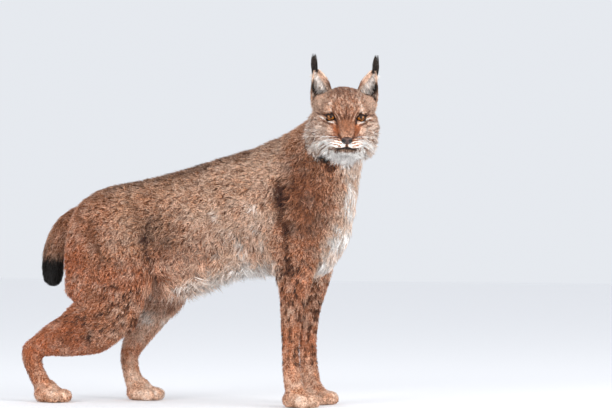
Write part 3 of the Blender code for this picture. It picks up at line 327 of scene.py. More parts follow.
# The same on the head, in the head's frame
HEAD_COAT = (
    (0.030, 0.000, -0.030, -0.50, 0.00, 0.85, 0.0036, 0.0006, 0.0, 0.35, 0.00, 0.60, 0.60),
    (0.045, 0.000, -0.048, -0.50, 0.00, 0.85, 0.0028, 0.0005, 0.0, 0.35, 0.00, 0.55, 0.72),
    (0.002, 0.000, 0.008, -0.50, 0.05, 0.85, 0.0065, 0.0012, 0.0, 0.42, 0.02, 0.55, 0.50),
    (-0.008, 0.012, 0.042, -0.60, 0.20, 0.80, 0.0100, 0.0020, 0.0, 0.48, 0.15, 0.45, 0.35),
    (-0.055, 0.000, 0.078, -1.00, 0.05, 0.10, 0.0170, 0.0040, 0.0, 0.60, 0.05, 0.45, 0.40),
    (-0.110, 0.000, 0.060, -0.90, 0.00, -0.40, 0.0280, 0.0070, 0.0, 0.90, 0.05, 0.35, 0.20),
    (-0.125, 0.045, 0.020, -0.90, 0.10, -0.50, 0.0300, 0.0080, 0.0, 0.90, 0.05, 0.35, 0.20),
    (0.004, 0.037, 0.000, -0.50, 0.80, 0.20, 0.0032, 0.0006, 0.0, 0.35, 0.15, 0.40, 0.30),
    (0.002, 0.037, 0.024, -0.50, 0.40, 0.80, 0.0080, 0.0016, 0.0, 0.45, 0.25, 0.35, 0.20),
    (-0.030, 0.062, 0.028, -0.80, 0.60, 0.20, 0.0110, 0.0024, 0.0, 0.48, 0.52, 0.22, 0.12),
    (-0.030, 0.074, 0.000, -0.60, 0.80, -0.10, 0.0170, 0.0040, 0.1, 0.55, 0.36, 0.35, 0.20),
    (0.012, 0.030, -0.030, -0.50, 0.80, -0.10, 0.0060, 0.0012, 0.0, 0.40, 0.30, 0.50, 0.05),
    (0.000, 0.052, -0.025, -0.40, 0.90, -0.15, 0.0110, 0.0026, 0.0, 0.45, 0.48, 0.20, 0.12),
    (0.000, 0.050, -0.055, -0.35, 0.85, -0.40, 0.0150, 0.0040, 0.1, 0.50, 0.66, 0.15, 0.10),
    (-0.045, 0.080, 0.014, -0.35, 0.90, 0.25, 0.0190, 0.0080, 0.8, 0.60, 0.55, 0.25, 0.12),
    (-0.030, 0.080, -0.035, -0.30, 0.85, -0.35, 0.0170, 0.0060, 0.6, 0.60, 0.52, 0.20, 0.16),
    (-0.060, 0.086, -0.020, -0.25, 0.90, -0.30, 0.0150, 0.0070, 0.8, 0.65, 0.55, 0.25, 0.10),
    (-0.055, 0.080, -0.065, -0.20, 0.78, -0.58, 0.0165, 0.0080, 0.8, 0.70, 0.70, 0.15, 0.10),
    (-0.052, 0.062, -0.088, -0.10, 0.50, -0.85, 0.0175, 0.0080, 0.8, 0.75, 0.62, 0.15, 0.20),
    (-0.050, 0.035, -0.096, -0.10, 0.15, -0.98, 0.0190, 0.0080, 0.6, 0.70, 1.00, 0.00, 0.00),
    (-0.050, 0.000, -0.100, -0.10, 0.00, -1.00, 0.0200, 0.0080, 0.6, 0.80, 1.00, 0.00, 0.00),
    (-0.100, 0.072, -0.010, -0.80, 0.20, -0.60, 0.0240, 0.0060, 0.0, 0.80, 0.00, 0.40, 0.35),
    (0.038, 0.022, -0.060, -0.40, 0.90, 0.10, 0.0036, 0.0008, 0.0, 0.35, 0.90, 0.10, 0.00),
    (0.010, 0.040, -0.068, -0.35, 0.90, 0.00, 0.0070, 0.0016, 0.0, 0.40, 0.90, 0.05, 0.00),
    (0.040, 0.000, -0.086, -0.10, 0.00, -1.00, 0.0055, 0.0012, 0.1, 0.40, 1.00, 0.00, 0.00),
    (0.010, 0.020, -0.095, -0.15, 0.30, -0.95, 0.0150, 0.0040, 0.4, 0.55, 1.00, 0.00, 0.00),
    (-0.055, 0.062, 0.060, -0.40, 0.30, 0.85, 0.0080, 0.0012, 0.0, 0.42, 0.25, 0.50, 0.05),
    (-0.075, 0.075, 0.090, -0.10, 0.20, 1.00, 0.0080, 0.0004, 0.0, 0.40, 0.10, 0.20, 0.75),
    (-0.050, 0.074, 0.110, 0.00, 0.10, 1.00, 0.0070, 0.0003, 0.0, 0.40, 0.20, 0.40, 0.30),
)
BODY_REACH, HEAD_REACH = 0.034, 0.017
# Where the ruff ends, in the head's frame: its half width and its back, each by height
RUFF_OUTLINE = ((-0.115, 0.030), (-0.103, 0.066), (-0.093, 0.081), (-0.078, 0.094), (-0.053, 0.101),
                (-0.028, 0.1025), (-0.003, 0.099), (0.015, 0.20))
RUFF_BACK = ((-0.120, -0.080), (-0.060, -0.074), (-0.032, -0.075), (0.000, -0.096), (0.060, -0.137))
RUFF_TIPS, RUFF_FLOOR = 0.012, -0.096
RUFF_SOFT = 0.004


def inside_ruff(local):
    """How far places of the head's frame lie inside the border between the head's coat and the neck's."""
    half = np.interp(local[:, 2], *np.array(RUFF_OUTLINE).T) - RUFF_TIPS
    behind = np.interp(local[:, 2], *np.array(RUFF_BACK).T)
    inside = np.minimum(half - np.abs(local[:, 1]), local[:, 0] - behind)
    return np.minimum(inside, local[:, 2] - RUFF_FLOOR)


def blended(points, places, values, reach):
    """The rows' values, blended by how near each row is."""
    found = np.empty((len(points), values.shape[1]))
    for first in range(0, len(points), 20000):
        part = points[first : first + 20000]
        apart = ((part[:, None] - places[None]) ** 2).sum(axis=2)
        weight = np.exp((apart.min(axis=1, keepdims=True) - apart) / (2 * reach**2))
        found[first : first + 20000] = weight @ values / weight.sum(axis=1, keepdims=True)
    return found


def both_sides(rows, middle):
    return [(row[0], middle + s * row[1], *row[2:4], s * row[4], *row[5:]) for row in rows for s in (-1, 1)]


body_rows = np.array(both_sides(BODY_COAT, MIDDLE_Y) + list(HIND_COAT))
head_rows = np.array(both_sides(HEAD_COAT, 0))


def coat_at(points):
    """At each point: the coat's lie (3), length, depth, hang, width, and pale, rust and dark shares."""
    local = in_head(points)
    head = eased(inside_ruff(local), -RUFF_SOFT, RUFF_SOFT)[:, None]
    body = blended(points, body_rows[:, :3], body_rows[:, 3:], BODY_REACH)
    face = blended(local, head_rows[:, :3], head_rows[:, 3:], HEAD_REACH)
    lie = unit(body[:, :3]) * (1 - head) + unit(face[:, :3]) @ head_turn.T * head
    return np.hstack([unit(lie), body[:, 3:] * (1 - head) + face[:, 3:] * head])


COAT_FILL = 0.85
# Where the hide lies deeper than the coat's depth, or less deep: place, radius and how much deeper
SHAPED = (
    (0.178, 0.020, 0.655, 0.036, -0.014),
    (0.262, -0.010, 0.700, 0.030, 0.005),
)
RUFF_STEP = 0.007
# Muscle and fur that stand out past the solids: a place, its reach, and the way it is moved
MOVED = (
    ((-0.455, RIGHT_Y, 0.125), 0.060, (-0.021, 0, 0.002)),
    ((-0.395, RIGHT_Y, 0.190), 0.045, (-0.008, 0, 0.014)),
    ((-0.335, RIGHT_Y, 0.255), 0.045, (-0.034, 0, 0.008)),
    ((-0.275, RIGHT_Y, 0.155), 0.060, (0.004, 0, -0.023)),
    ((-0.355, RIGHT_Y, 0.135), 0.050, (0.000, 0, -0.012)),
    ((-0.320, MIDDLE_Y, 0.530), 0.090, (-0.003, 0, 0.006)),
)


def normals_of(piece):
    found = np.empty(len(piece.data.vertices) * 3, np.float32)
    piece.data.vertices.foreach_get("normal", found)
    return found.reshape(-1, 3).astype(float)


def smoothed(piece, weights, rounds):
    """Smooths the piece by its Smooth modifier, each vertex as far as its weight says."""
    group = piece.vertex_groups.new(name="soft")
    for vertex, weight in enumerate(weights):
        if weight > 0:
            group.add((vertex,), float(weight), "REPLACE")
    smooth = piece.modifiers.new("soft", "SMOOTH")
    smooth.vertex_group = group.name
    smooth.factor = 0.5
    smooth.iterations = rounds
    bpy.context.view_layer.objects.active = piece
    bpy.ops.object.modifier_apply(modifier=smooth.name)
    piece.vertex_groups.clear()


skin_places = points_of(hide)
skin_coat = coat_at(skin_places)
smoothed(hide, eased(skin_coat[:, 4], 0.001, 0.008), 12)
skin_places = points_of(hide)
set_in = skin_coat[:, 4] * COAT_FILL
for *middle, radius, deeper in SHAPED:
    set_in += deeper * np.exp(-((np.linalg.norm(skin_places - middle, axis=1) / radius) ** 2))
border = inside_ruff(in_head(skin_places))
under_ruff = eased(border, -0.030, -0.008) * (1 - eased(border, -0.004, 0.004))
set_in += RUFF_STEP * under_ruff * eased(-in_head(skin_places)[:, 2], -0.02, 0.01)
skin_places -= normals_of(hide) * set_in[:, None]
pulls = [np.exp(-((np.linalg.norm(skin_places - place, axis=1) / reach) ** 2)) for place, reach, _ in MOVED]
for pull, (_, _, way) in zip(pulls, MOVED):
    skin_places += pull[:, None] * np.array(way)
hide.data.vertices.foreach_set("co", skin_places.ravel())
hide.data.update()
smoothed(hide, 0.2 + 0.8 * eased(skin_coat[:, 4], 0.001, 0.008), 4)
for polygon in hide.data.polygons:
    polygon.use_smooth = True
skin_places, skin_normals = points_of(hide), normals_of(hide)
skin_tree = BVHTree.FromPolygons(
    [Vector(p) for p in skin_places], [tuple(p.vertices) for p in hide.data.polygons]
)


NOISE_SIZE = 4096
noise_table = random.random(NOISE_SIZE)


def patchy(points, size, seed=0):
    """Soft random patches about this size, from 0 to 1."""
    scaled = points / size + 1000
    cell = np.floor(scaled).astype(np.int64)
    share = scaled - cell
    share = share * share * (3 - 2 * share)
    found = 0
    for corner in np.ndindex(2, 2, 2):
        at = cell + corner
        key = (at[:, 0] * 7919 + at[:, 1] * 104729 + at[:, 2] * 1299709 + seed * 31) % NOISE_SIZE
        found = found + noise_table[key] * np.prod(np.where(corner, share, 1 - share), axis=1)
    return np.clip((found - 0.5) * 1.7 + 0.5, 0, 1)


# Marks and painted shadows on the flanks and legs: x and z of two ends, radius; pale, rust and dark they add; side
# (0 both)
BODY_MARKS_AND_SHADOWS = (
    # Painted shadow: a dark diagonal crease high on the thigh
    (-0.275, 0.450, -0.240, 0.365, 0.014, -0.2, 0.0, 0.55, 0),
    (-0.128, 0.425, -0.130, 0.270, 0.008, -0.2, 0.0, 0.75, 0),
    # Painted shadow in the groove behind the shoulder, down to the elbow
    (0.226, 0.560, 0.248, 0.340, 0.011, -0.3, 0.0, 0.75, 0),
    (0.285, 0.600, 0.300, 0.460, 0.040, 0.0, 0.15, 0.14, 0),
    (0.165, 0.500, 0.180, 0.350, 0.016, 0.22, 0.0, 0.0, 0),
    (-0.020, 0.480, 0.050, 0.455, 0.018, 0.20, 0.0, 0.0, 0),
    (0.035, 0.420, 0.110, 0.415, 0.016, 0.20, 0.0, 0.0, 0),
)
# Fields of small dark spots on the legs: x from and to, z from and to, side (1 left, -1 right, 0 both)
SPOT_FIELDS = (
    (0.205, 0.295, 0.110, 0.385, 0),
    (-0.240, -0.130, 0.190, 0.315, -1),
    (-0.350, -0.240, 0.165, 0.235, -1),
)
SPOT_APART = 0.0185
SPOT_RADIUS = (0.0034, 0.0052)
spots = []
for low_x, high_x, low_z, high_z, where in SPOT_FIELDS:
    for row, z in enumerate(np.arange(low_z, high_z, SPOT_APART)):
        for x in np.arange(low_x + 0.5 * SPOT_APART * (row % 2), high_x, SPOT_APART):
            jitter = random.uniform(-0.32, 0.32, 2) * SPOT_APART
            spots.append((x + jitter[0], z + jitter[1], random.uniform(*SPOT_RADIUS), where))
# Marks on the face, in the head's frame and alike on both sides: y and z of two ends, radius;
# pale, rust, dark and black they bring
FACE_MARKS = (
    # Pale patch above the eye's inner half
    (0.0360, 0.014, 0.0370, 0.033, 0.0032, 0.32, -0.1, -0.2, 0.0),
    # Dark rim all round the eye, drawn out to the temple and down to the tear corner
    (0.0260, -0.0055, 0.0335, 0.0075, 0.0022, -0.8, 0.0, 0.8, 0.5),
    (0.0335, 0.0075, 0.0480, 0.0075, 0.0022, -0.8, 0.0, 0.8, 0.5),
    (0.0260, -0.0060, 0.0400, -0.0075, 0.0018, -0.8, 0.0, 0.8, 0.5),
    (0.0400, -0.0075, 0.0500, 0.0040, 0.0018, -0.8, 0.0, 0.8, 0.5),
    (0.0250, -0.0080, 0.0225, -0.0190, 0.0019, -0.9, 0.0, 0.8, 0.40),
    (0.0500, 0.0055, 0.0640, 0.0060, 0.0018, -0.5, 0.0, 0.7, 0.15),
    (0.0640, 0.0060, 0.0760, -0.0020, 0.0028, -0.4, 0.2, 0.4, 0.0),
    # Pale line under the eye, with a thin dark line below it, and a pale one over the upper lid
    (0.0280, -0.0155, 0.0438, -0.0107, 0.0012, 0.8, -0.4, -0.7, -0.4),
    (0.0438, -0.0107, 0.0575, -0.0015, 0.0012, 0.8, -0.4, -0.7, -0.4),
    (0.0330, -0.0195, 0.0480, -0.0150, 0.0013, -0.5, 0.3, 0.6, 0.0),
    (0.0480, -0.0150, 0.0600, -0.0050, 0.0013, -0.5, 0.3, 0.6, 0.0),
    (0.0360, 0.0125, 0.0480, 0.0125, 0.0012, 0.4, -0.1, -0.4, 0.0),
    # Edge of the nose bridge
    (0.0225, -0.020, 0.0195, -0.045, 0.0030, -0.3, 0.3, 0.20, 0.0),
    (0.0190, -0.045, 0.0140, -0.052, 0.0024, -0.3, 0.2, 0.5, 0.05),
    # Rust below the eye, down to the whiskers
    (0.030, -0.024, 0.027, -0.046, 0.0060, -0.3, 0.4, 0.15, 0.0),
    (0.030, -0.042, 0.036, -0.030, 0.0016, 0.25, -0.1, -0.2, 0.0),
    # Darker band down the side of the cheek
    (0.0740, 0.000, 0.0740, -0.035, 0.0045, -0.1, 0.1, 0.12, 0.0),
    (0.0740, -0.035, 0.0660, -0.068, 0.0045, -0.1, 0.05, 0.15, 0.0),
    # White of the muzzle and chin
    (0.010, -0.067, 0.036, -0.062, 0.0085, 0.7, -0.4, -0.5, 0.0),
    (0.000, -0.095, 0.030, -0.094, 0.0090, 1.0, -0.5, -0.9, 0.0),
    # Rows of whisker roots
    (0.0135, -0.0540, 0.0370, -0.0465, 0.0015, -1.9, 1.0, 0.9, 0.0),
    (0.0130, -0.0600, 0.0390, -0.0530, 0.0015, -1.9, 1.0, 0.9, 0.0),
    (0.0130, -0.0658, 0.0390, -0.0598, 0.0014, -1.9, 1.0, 0.9, 0.0),
    (0.0150, -0.0712, 0.0370, -0.0662, 0.0013, -1.9, 0.9, 0.9, 0.0),
    # Dark lips, fading into the chin
    (0.000, -0.0790, 0.020, -0.0805, 0.0048, -1.0, 0.0, 0.7, 0.55),
    (0.020, -0.0790, 0.036, -0.0760, 0.0028, -0.8, 0.0, 0.5, 0.35),
    (0.000, -0.0860, 0.014, -0.0860, 0.0030, -0.5, 0.0, 0.6, 0.20),
    (0.000, -0.0750, 0.000, -0.0680, 0.0034, -1.2, 0.0, 0.6, 0.30),
)
RUFF_SPOT, RUFF_SPOT_SIZE = np.array((-0.050, -0.046, -0.090)), 0.0150
# White of the throat, drawn down the front of the neck to the animal's left: place and size
THROATS = (((-0.040, 0.006, -0.092), 0.030), ((-0.052, 0.034, -0.132), 0.028), ((-0.060, 0.036, -0.175), 0.030))
GORGET, GORGET_SIZE = np.array((-0.060, -0.028, -0.117)), 0.013
# Marks and painted shade inside the ear, alike on both sides: y and z, reach along each; pale, rust, dark and black
EAR_MARKS_AND_SHADE = (
    # Painted shade, dark to black, in the hollow low inside the ear
    (0.0720, 0.0680, 0.0145, 0.0140, -0.5, 0.0, 0.3, 0.95),
    (0.0600, 0.0590, 0.0110, 0.0060, -0.5, 0.0, 0.4, 0.80),
    (0.0800, 0.0790, 0.0070, 0.0100, -0.4, 0.0, 0.4, 0.60),
    (0.0775, 0.0450, 0.0100, 0.0110, 0.2, 0.4, -0.2, 0.0),
)


def from_line(points, start, end):
    """How far points of a plane are from the line between two ends."""
    start, along = np.array(start), np.array(end) - np.array(start)
    share = np.clip((points - start) @ along / max(along @ along, 1e-12), 0, 1)
    return np.linalg.norm(points - start - share[:, None] * along, axis=1)


def markings_at(points, coat, normals):
    """Pale, rust, dark and black shares at each point, from its coat's row and the marks there."""
    local = in_head(points)
    shares = np.zeros((len(points), 4))
    shares[:, :3] = coat[:, 7:10]
    on_head = eased(inside_ruff(local), -RUFF_SOFT, RUFF_SOFT)
    body = 1 - on_head
    side = np.sign(points[:, 1] - MIDDLE_Y)
    outer = eased(np.abs(points[:, 1] - MIDDLE_Y), 0.030, 0.060) * body
    broken = patchy(points, 0.030, 1) - 0.5
    fine = patchy(points, 0.011, 2) - 0.5
    shares[:, 0] += body * (0.26 * broken + 0.40 * fine)
    shares[:, 1] += 0.18 * (patchy(points, 0.045, 3) - 0.5) * body
    shares[:, 2] += body * (0.24 * (patchy(points, 0.022, 4) - 0.5) + 0.34 * (patchy(points, 0.008, 5) - 0.5))
    flat = points[:, [0, 2]]
    wander = 0.006 * (np.stack([patchy(points, 0.02, 6), patchy(points, 0.02, 7)], axis=1) - 0.5)
    for ax, az, bx, bz, radius, pale, rust, dark, where in BODY_MARKS_AND_SHADOWS:
        near = np.exp(-((from_line(flat + wander * 2, (ax, az), (bx, bz)) / radius) ** 2)) * outer
        shares[:, :3] += near[:, None] * np.array((pale, rust, dark))
    for x, z, radius, where in spots:
        apart = np.hypot(flat[:, 0] + wander[:, 0] - x, 0.72 * (flat[:, 1] + wander[:, 1] - z))
        near = np.exp(-((apart / radius) ** 4)) * eased(np.abs(points[:, 1] - MIDDLE_Y), 0.015, 0.035)
        near = near * (side == where) if where else near
        shares[:, 2] += near * 1.0
        shares[:, 3] += near * 0.25
        shares[:, 0] -= near * 0.8
    # Fine streaks fan out over the cheeks, and run up between the brows
    turn = np.arctan2(local[:, 2] + 0.045, np.abs(local[:, 1]) + 1e-6)
    reach = np.hypot(local[:, 2] + 0.045, local[:, 1])
    fan = patchy(np.stack([turn * 0.060, reach * 0.12, local[:, 0] * 0], axis=1), 0.0016, 8) - 0.5
    cheek = on_head * eased(reach, 0.025, 0.05) * eased(-local[:, 2], -0.030, 0.0)
    shares[:, 2] += cheek * (1.0 * fan + 0.08)
    shares[:, 0] -= cheek * 0.60 * fan
    brow = on_head * eased(local[:, 2], 0.0, 0.020) * eased(-np.abs(local[:, 1]), -0.055, -0.035)
    rays = np.stack([local[:, 1] * (1 - 3 * local[:, 2]), local[:, 2] * 0.35, local[:, 0] * 0], axis=1)
    streak = patchy(rays, 0.0024, 9) - 0.5
    flecks = patchy(local * np.array((1, 1, 0.55)), 0.0030, 10) - 0.5
    shares[:, 2] += brow * 0.50 * streak
    shares[:, 0] += brow * (0.80 * flecks - 0.2 * streak)
    front = on_head * eased(local[:, 0], -0.045, -0.020)
    mirrored = np.abs(local[:, 1:3] * np.array((1, 0))) + local[:, 1:3] * np.array((0, 1))
    ragged = 0.0016 * (np.stack([patchy(points, 0.004, 11), patchy(points, 0.004, 12)], axis=1) - 0.5)
    for ay, az, by, bz, radius, *brought in FACE_MARKS:
        near = np.exp(-((from_line(mirrored + ragged, (ay, az), (by, bz)) / radius) ** 2)) * front
        shares += near[:, None] * np.array(brought)
    # Ears: painted shade in the hollow low inside, rust edge, and a grey back with a black border
    ear = eased(local[:, 2] - 0.35 * (0.05 - np.abs(local[:, 1])), 0.050, 0.062) * (local[:, 0] < -0.03)
    ear = ear * (np.abs(local[:, 1]) > 0.025)
    facing = eased((normals @ head_turn)[:, 0], -0.10, 0.15) * ear
    shares[:, :3] = shares[:, :3] * (1 - ear[:, None]) + ear[:, None] * np.array((0.25, 0.20, 0.45))
    shares[:, :3] += facing[:, None] * np.array((0.35, 0.0, -0.35))
    for *middle, reach_y, reach_z, pale, rust, dark, black in EAR_MARKS_AND_SHADE:
        near = np.exp(-((((mirrored - middle) / (reach_y, reach_z)) ** 2).sum(axis=1) ** 2)) * facing
        shares += near[:, None] * np.array((pale, rust, dark, black))
    inner = np.exp(-((from_line(mirrored, (0.036, 0.080), (0.073, 0.119)) / 0.0038) ** 4)) * ear
    outer_rim = np.exp(-((from_line(mirrored, (0.088, 0.084), (0.079, 0.116)) / 0.0035) ** 4)) * ear
    shares[:, :3] += (inner + outer_rim)[:, None] * np.array((-0.15, 0.50, 0.0))
    shares[:, 3] += 0.6 * ear * (1 - facing) * patchy(points, 0.012, 14)
    tail_end = eased(-points[:, 2], -0.385, -0.365) * (points[:, 0] < -0.385) * (points[:, 2] > 0.26)
    shares[:, 3] += tail_end
    spot = np.exp(-((np.linalg.norm(local - RUFF_SPOT, axis=1) / RUFF_SPOT_SIZE) ** 4))
    shares[:, 3] += 1.6 * spot
    for middle, size in THROATS:
        white = np.exp(-((np.linalg.norm(local - middle, axis=1) / size) ** 4))
        shares[:, :3] += white[:, None] * np.array((0.7, -0.3, -0.4))
    brown = np.exp(-((np.linalg.norm(local - GORGET, axis=1) / GORGET_SIZE) ** 4))
    shares[:, :3] += brown[:, None] * np.array((-0.9, 0.2, 0.9))
    return np.clip(shares, 0, 1)


def carry(piece, name, values):
    """Stores four numbers for each vertex on the piece."""
    layer = piece.data.attributes.new(name, "FLOAT_COLOR", "POINT")
    layer.data.foreach_set("color", np.ascontiguousarray(values, np.float32).ravel())


skin_coat = coat_at(skin_places)
carry(hide, "markings", markings_at(skin_places, skin_coat, skin_normals))
under = np.zeros((len(skin_places), 4))
# The hide takes the tufts' painted root shade, more of it where the coat lies deep over it
under[:, 0] = 0.45 + 0.35 * (1 - eased(skin_coat[:, 4], 0.0008, 0.004))
under[:, 1], under[:, 2] = 0.5, patchy(skin_places, 0.006, 13)
carry(hide, "strand", under)


def paint(code):
    """A colour from its sRGB code, as the shader needs it."""
    channels = [int(code[k : k + 2], 16) / 255 for k in (1, 3, 5)]
    return (*(c / 12.92 if c <= 0.04045 else ((c + 0.055) / 1.055) ** 2.4 for c in channels), 1)


FAWN, WHITE, RUST, BROWN, BLACK = (paint(c) for c in ("#dca47a", "#fffcf8", "#d0703a", "#4a2515", "#17130f"))
CREAM = paint("#f6d9c2")
CURL_SHADE = (0.30, 0.18, 0.13, 1)
# Painted shade at the roots of the hair, deep in the coat: dark, and lighter under pale hair
ROOT_SHADE, PALE_ROOT = (0.28, 0.19, 0.15, 1), (0.93, 0.91, 0.90, 1)

# The coat's colours, shared by hide and tufts: each share brings its colour, then the tuft is darker at
# its root, a painted shade deep in the coat, and paler at its tip
colours = bpy.data.node_groups.new("coat_colours", "ShaderNodeTree")
for name, kind, way in (
    ("Markings", "NodeSocketColor", "INPUT"),
    ("Black", "NodeSocketFloat", "INPUT"),
    ("Strand", "NodeSocketColor", "INPUT"),
    ("Colour", "NodeSocketColor", "OUTPUT"),
    ("Grain", "NodeSocketFloat", "OUTPUT"),
    ("Roughness", "NodeSocketFloat", "OUTPUT"),
):
    colours.interface.new_socket(name, in_out=way, socket_type=kind)
make = colours.nodes.new
link = colours.links.new
given, result = make("NodeGroupInput"), make("NodeGroupOutput")
marks, strand = make("ShaderNodeSeparateColor"), make("ShaderNodeSeparateColor")
link(given.outputs["Markings"], marks.inputs[0])
link(given.outputs["Strand"], strand.inputs[0])


def mixed(first, second, share, kind="MIX"):
    """A Mix node of the group: colours or sockets, by a number or a socket."""
    node = make("ShaderNodeMix")
    node.data_type = "RGBA"
    node.blend_type = kind
    for socket, value in ((node.inputs[0], share), (node.inputs[6], first), (node.inputs[7], second)):
        if isinstance(value, bpy.types.NodeSocket):
            link(value, socket)
        else:
            socket.default_value = value
    return node.outputs[2]


def worked(kind, first, second, third=None):
    node = make("ShaderNodeMath")
    node.operation = kind
    node.use_clamp = kind == "MULTIPLY_ADD"
    for socket, value in zip(node.inputs, (first, second, third)):
        if isinstance(value, bpy.types.NodeSocket):
            link(value, socket)
        elif value is not None:
            socket.default_value = value
    return node.outputs[0]


along, chance, clump = strand.outputs[0], strand.outputs[1], strand.outputs[2]
grain_place, grain = make("ShaderNodeTexCoord"), make("ShaderNodeTexNoise")
grain.inputs["Scale"].default_value = 700
grain.inputs["Detail"].default_value = 2
link(grain_place.outputs["Object"], grain.inputs["Vector"])
colour = mixed(FAWN, RUST, marks.outputs[1])
white_share = worked("MULTIPLY_ADD", marks.outputs[0], 2.5, -1.4)
colour = mixed(colour, CREAM, worked("MULTIPLY_ADD", marks.outputs[0], 1.3, 0.0))
colour = mixed(colour, WHITE, white_share)
colour = mixed(colour, BROWN, marks.outputs[2])
shade = worked("MULTIPLY_ADD", chance, 0.34, 0.80)
shade = worked("ADD", shade, worked("MULTIPLY", worked("SUBTRACT", clump, 0.42), 0.62))
shades = make("ShaderNodeCombineXYZ")
for socket in shades.inputs:
    link(shade, socket)
colour = mixed(colour, shades.outputs[0], 1.0, "MULTIPLY")
# Painted shade: the tuft darkens towards its root
root_shaded = mixed(colour, mixed(ROOT_SHADE, PALE_ROOT, marks.outputs[0]), 1.0, "MULTIPLY")
colour = mixed(root_shaded, colour, worked("MULTIPLY_ADD", along, 1.5, 0.0))
tip = worked("MULTIPLY_ADD", along, 2.0, -0.9)
likely = worked("ADD", worked("MULTIPLY", clump, 1.2), worked("MULTIPLY", chance, 0.5))
tip = worked("MULTIPLY", tip, worked("MULTIPLY_ADD", likely, 1.5, -0.55))
tip = worked("MULTIPLY", tip, worked("MULTIPLY_ADD", marks.outputs[0], 0.9, 0.35))
held = worked("ADD", marks.outputs[2], worked("MULTIPLY", marks.outputs[1], 0.6))
tip = worked("MULTIPLY", tip, worked("MULTIPLY_ADD", held, -1.0, 0.95))
colour = mixed(colour, mixed(CREAM, WHITE, white_share), tip)
curls = make("ShaderNodeTexNoise")
curls.inputs["Scale"].default_value = 260
curls.inputs["Detail"].default_value = 1
link(grain_place.outputs["Object"], curls.inputs["Vector"])
plain = worked("MULTIPLY_ADD", worked("ADD", marks.outputs[1], marks.outputs[2]), -3.0, 3.9)
curled = worked("MULTIPLY", worked("MULTIPLY_ADD", marks.outputs[0], -0.75, 0.85), plain)
# Painted shade in the hollows between the curls
hollow = worked("MULTIPLY", worked("MULTIPLY_ADD", curls.outputs[0], -9.0, 4.4), curled)
colour = mixed(colour, mixed(colour, CURL_SHADE, 1.0, "MULTIPLY"), hollow)
crest = worked("MULTIPLY", worked("MULTIPLY_ADD", curls.outputs[0], 9.0, -4.7), worked("MULTIPLY_ADD", held, -0.8, 0.85))
crest = worked("MULTIPLY", crest, worked("MULTIPLY_ADD", along, 1.2, -0.2))
colour = mixed(colour, mixed(CREAM, WHITE, white_share), worked("MULTIPLY", crest, plain))
colour = mixed(colour, BLACK, given.outputs["Black"])
speckle = worked("MULTIPLY_ADD", grain.outputs[0], 0.5, 0.75)
speckles = make("ShaderNodeCombineXYZ")
for socket in speckles.inputs:
    link(speckle, socket)
link(mixed(colour, speckles.outputs[0], 1.0, "MULTIPLY"), result.inputs["Colour"])
link(grain.outputs[0], result.inputs["Grain"])
link(worked("MULTIPLY_ADD", grain.outputs[0], 0.25, 0.52), result.inputs["Roughness"])


def coat_finish(name, bump, sheen):
    finish = bpy.data.materials.new(name)
    finish.use_nodes = True
    nodes_of, links = finish.node_tree.nodes, finish.node_tree.links
    shader = nodes_of["Principled BSDF"]
    shared = nodes_of.new("ShaderNodeGroup")
    shared.node_tree = colours
    for attribute, socket in (("markings", "Markings"), ("strand", "Strand")):
        reader = nodes_of.new("ShaderNodeAttribute")
        reader.attribute_name = attribute
        links.new(reader.outputs["Color"], shared.inputs[socket])
        if socket == "Markings":
            links.new(reader.outputs["Alpha"], shared.inputs["Black"])
    raised = nodes_of.new("ShaderNodeBump")
    raised.inputs["Strength"].default_value = bump
    raised.inputs["Distance"].default_value = 0.001
    links.new(shared.outputs["Grain"], raised.inputs["Height"])
    links.new(raised.outputs["Normal"], shader.inputs["Normal"])
    links.new(shared.outputs["Colour"], shader.inputs["Base Color"])
    links.new(shared.outputs["Roughness"], shader.inputs["Roughness"])
    shader.inputs["Sheen Weight"].default_value = sheen
    shader.inputs["Specular IOR Level"].default_value = 0.2
    return finish


hide.data.materials.append(coat_finish("hide_finish", 0.8, 0.05))
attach(hide, "root")
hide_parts(*LOCKED, *UNCHANGED)

# Coat
# Guard hair in thin pointed tufts that overlap along the body, drawn together into small locks with pale
# tips. It is long on belly, chest and ruff, short on the face and legs, and shortest on the feet.

UNWRAP_FACES = 9000
PATCH = 0.003
proxy = bpy.data.objects.new("proxy", hide.data.copy())
bpy.context.scene.collection.objects.link(proxy)
apply_to(proxy, "DECIMATE", ratio=UNWRAP_FACES / sum(len(p.vertices) - 2 for p in proxy.data.polygons))
apply_to(proxy, "TRIANGULATE")
bpy.ops.object.mode_set(mode="EDIT")
bpy.ops.mesh.select_all(action="SELECT")
bpy.ops.uv.smart_project(angle_limit=math.radians(66), island_margin=0.002)
bpy.ops.object.mode_set(mode="OBJECT")
proxy_places = points_of(proxy)
proxy_corners = np.array([tuple(p.vertices) for p in proxy.data.polygons])
proxy_uv = np.empty(len(proxy.data.loops) * 2, np.float32)
proxy.data.uv_layers.active.data.foreach_get("uv", proxy_uv)
proxy_uv = proxy_uv.reshape(-1, 3, 2).astype(float)
proxy_tree = BVHTree.FromPolygons([Vector(p) for p in proxy_places], proxy_corners.tolist())
bpy.data.objects.remove(proxy)


def unwrapped(points):
    """Where each point lies on the flat unwrap of the hide."""
    found = np.array([proxy_tree.find_nearest(Vector(p))[2] for p in points])
    corners = proxy_places[proxy_corners[found]]
    sides = corners[:, 1:] - corners[:, :1]
    reach = np.asarray(points) - corners[:, 0]
    aa, ab, bb = ((sides[:, i] * sides[:, j]).sum(axis=1) for i, j in ((0, 0), (0, 1), (1, 1)))
    ra, rb = ((sides[:, i] * reach).sum(axis=1) for i in (0, 1))
    below = np.maximum(aa * bb - ab * ab, 1e-20)
    second, third = (bb * ra - ab * rb) / below, (aa * rb - ab * ra) / below
    shares = np.clip(np.stack([1 - second - third, second, third], axis=1), 0, 1)
    shares /= shares.sum(axis=1, keepdims=True)
    return (proxy_uv[found] * shares[:, :, None]).sum(axis=1)


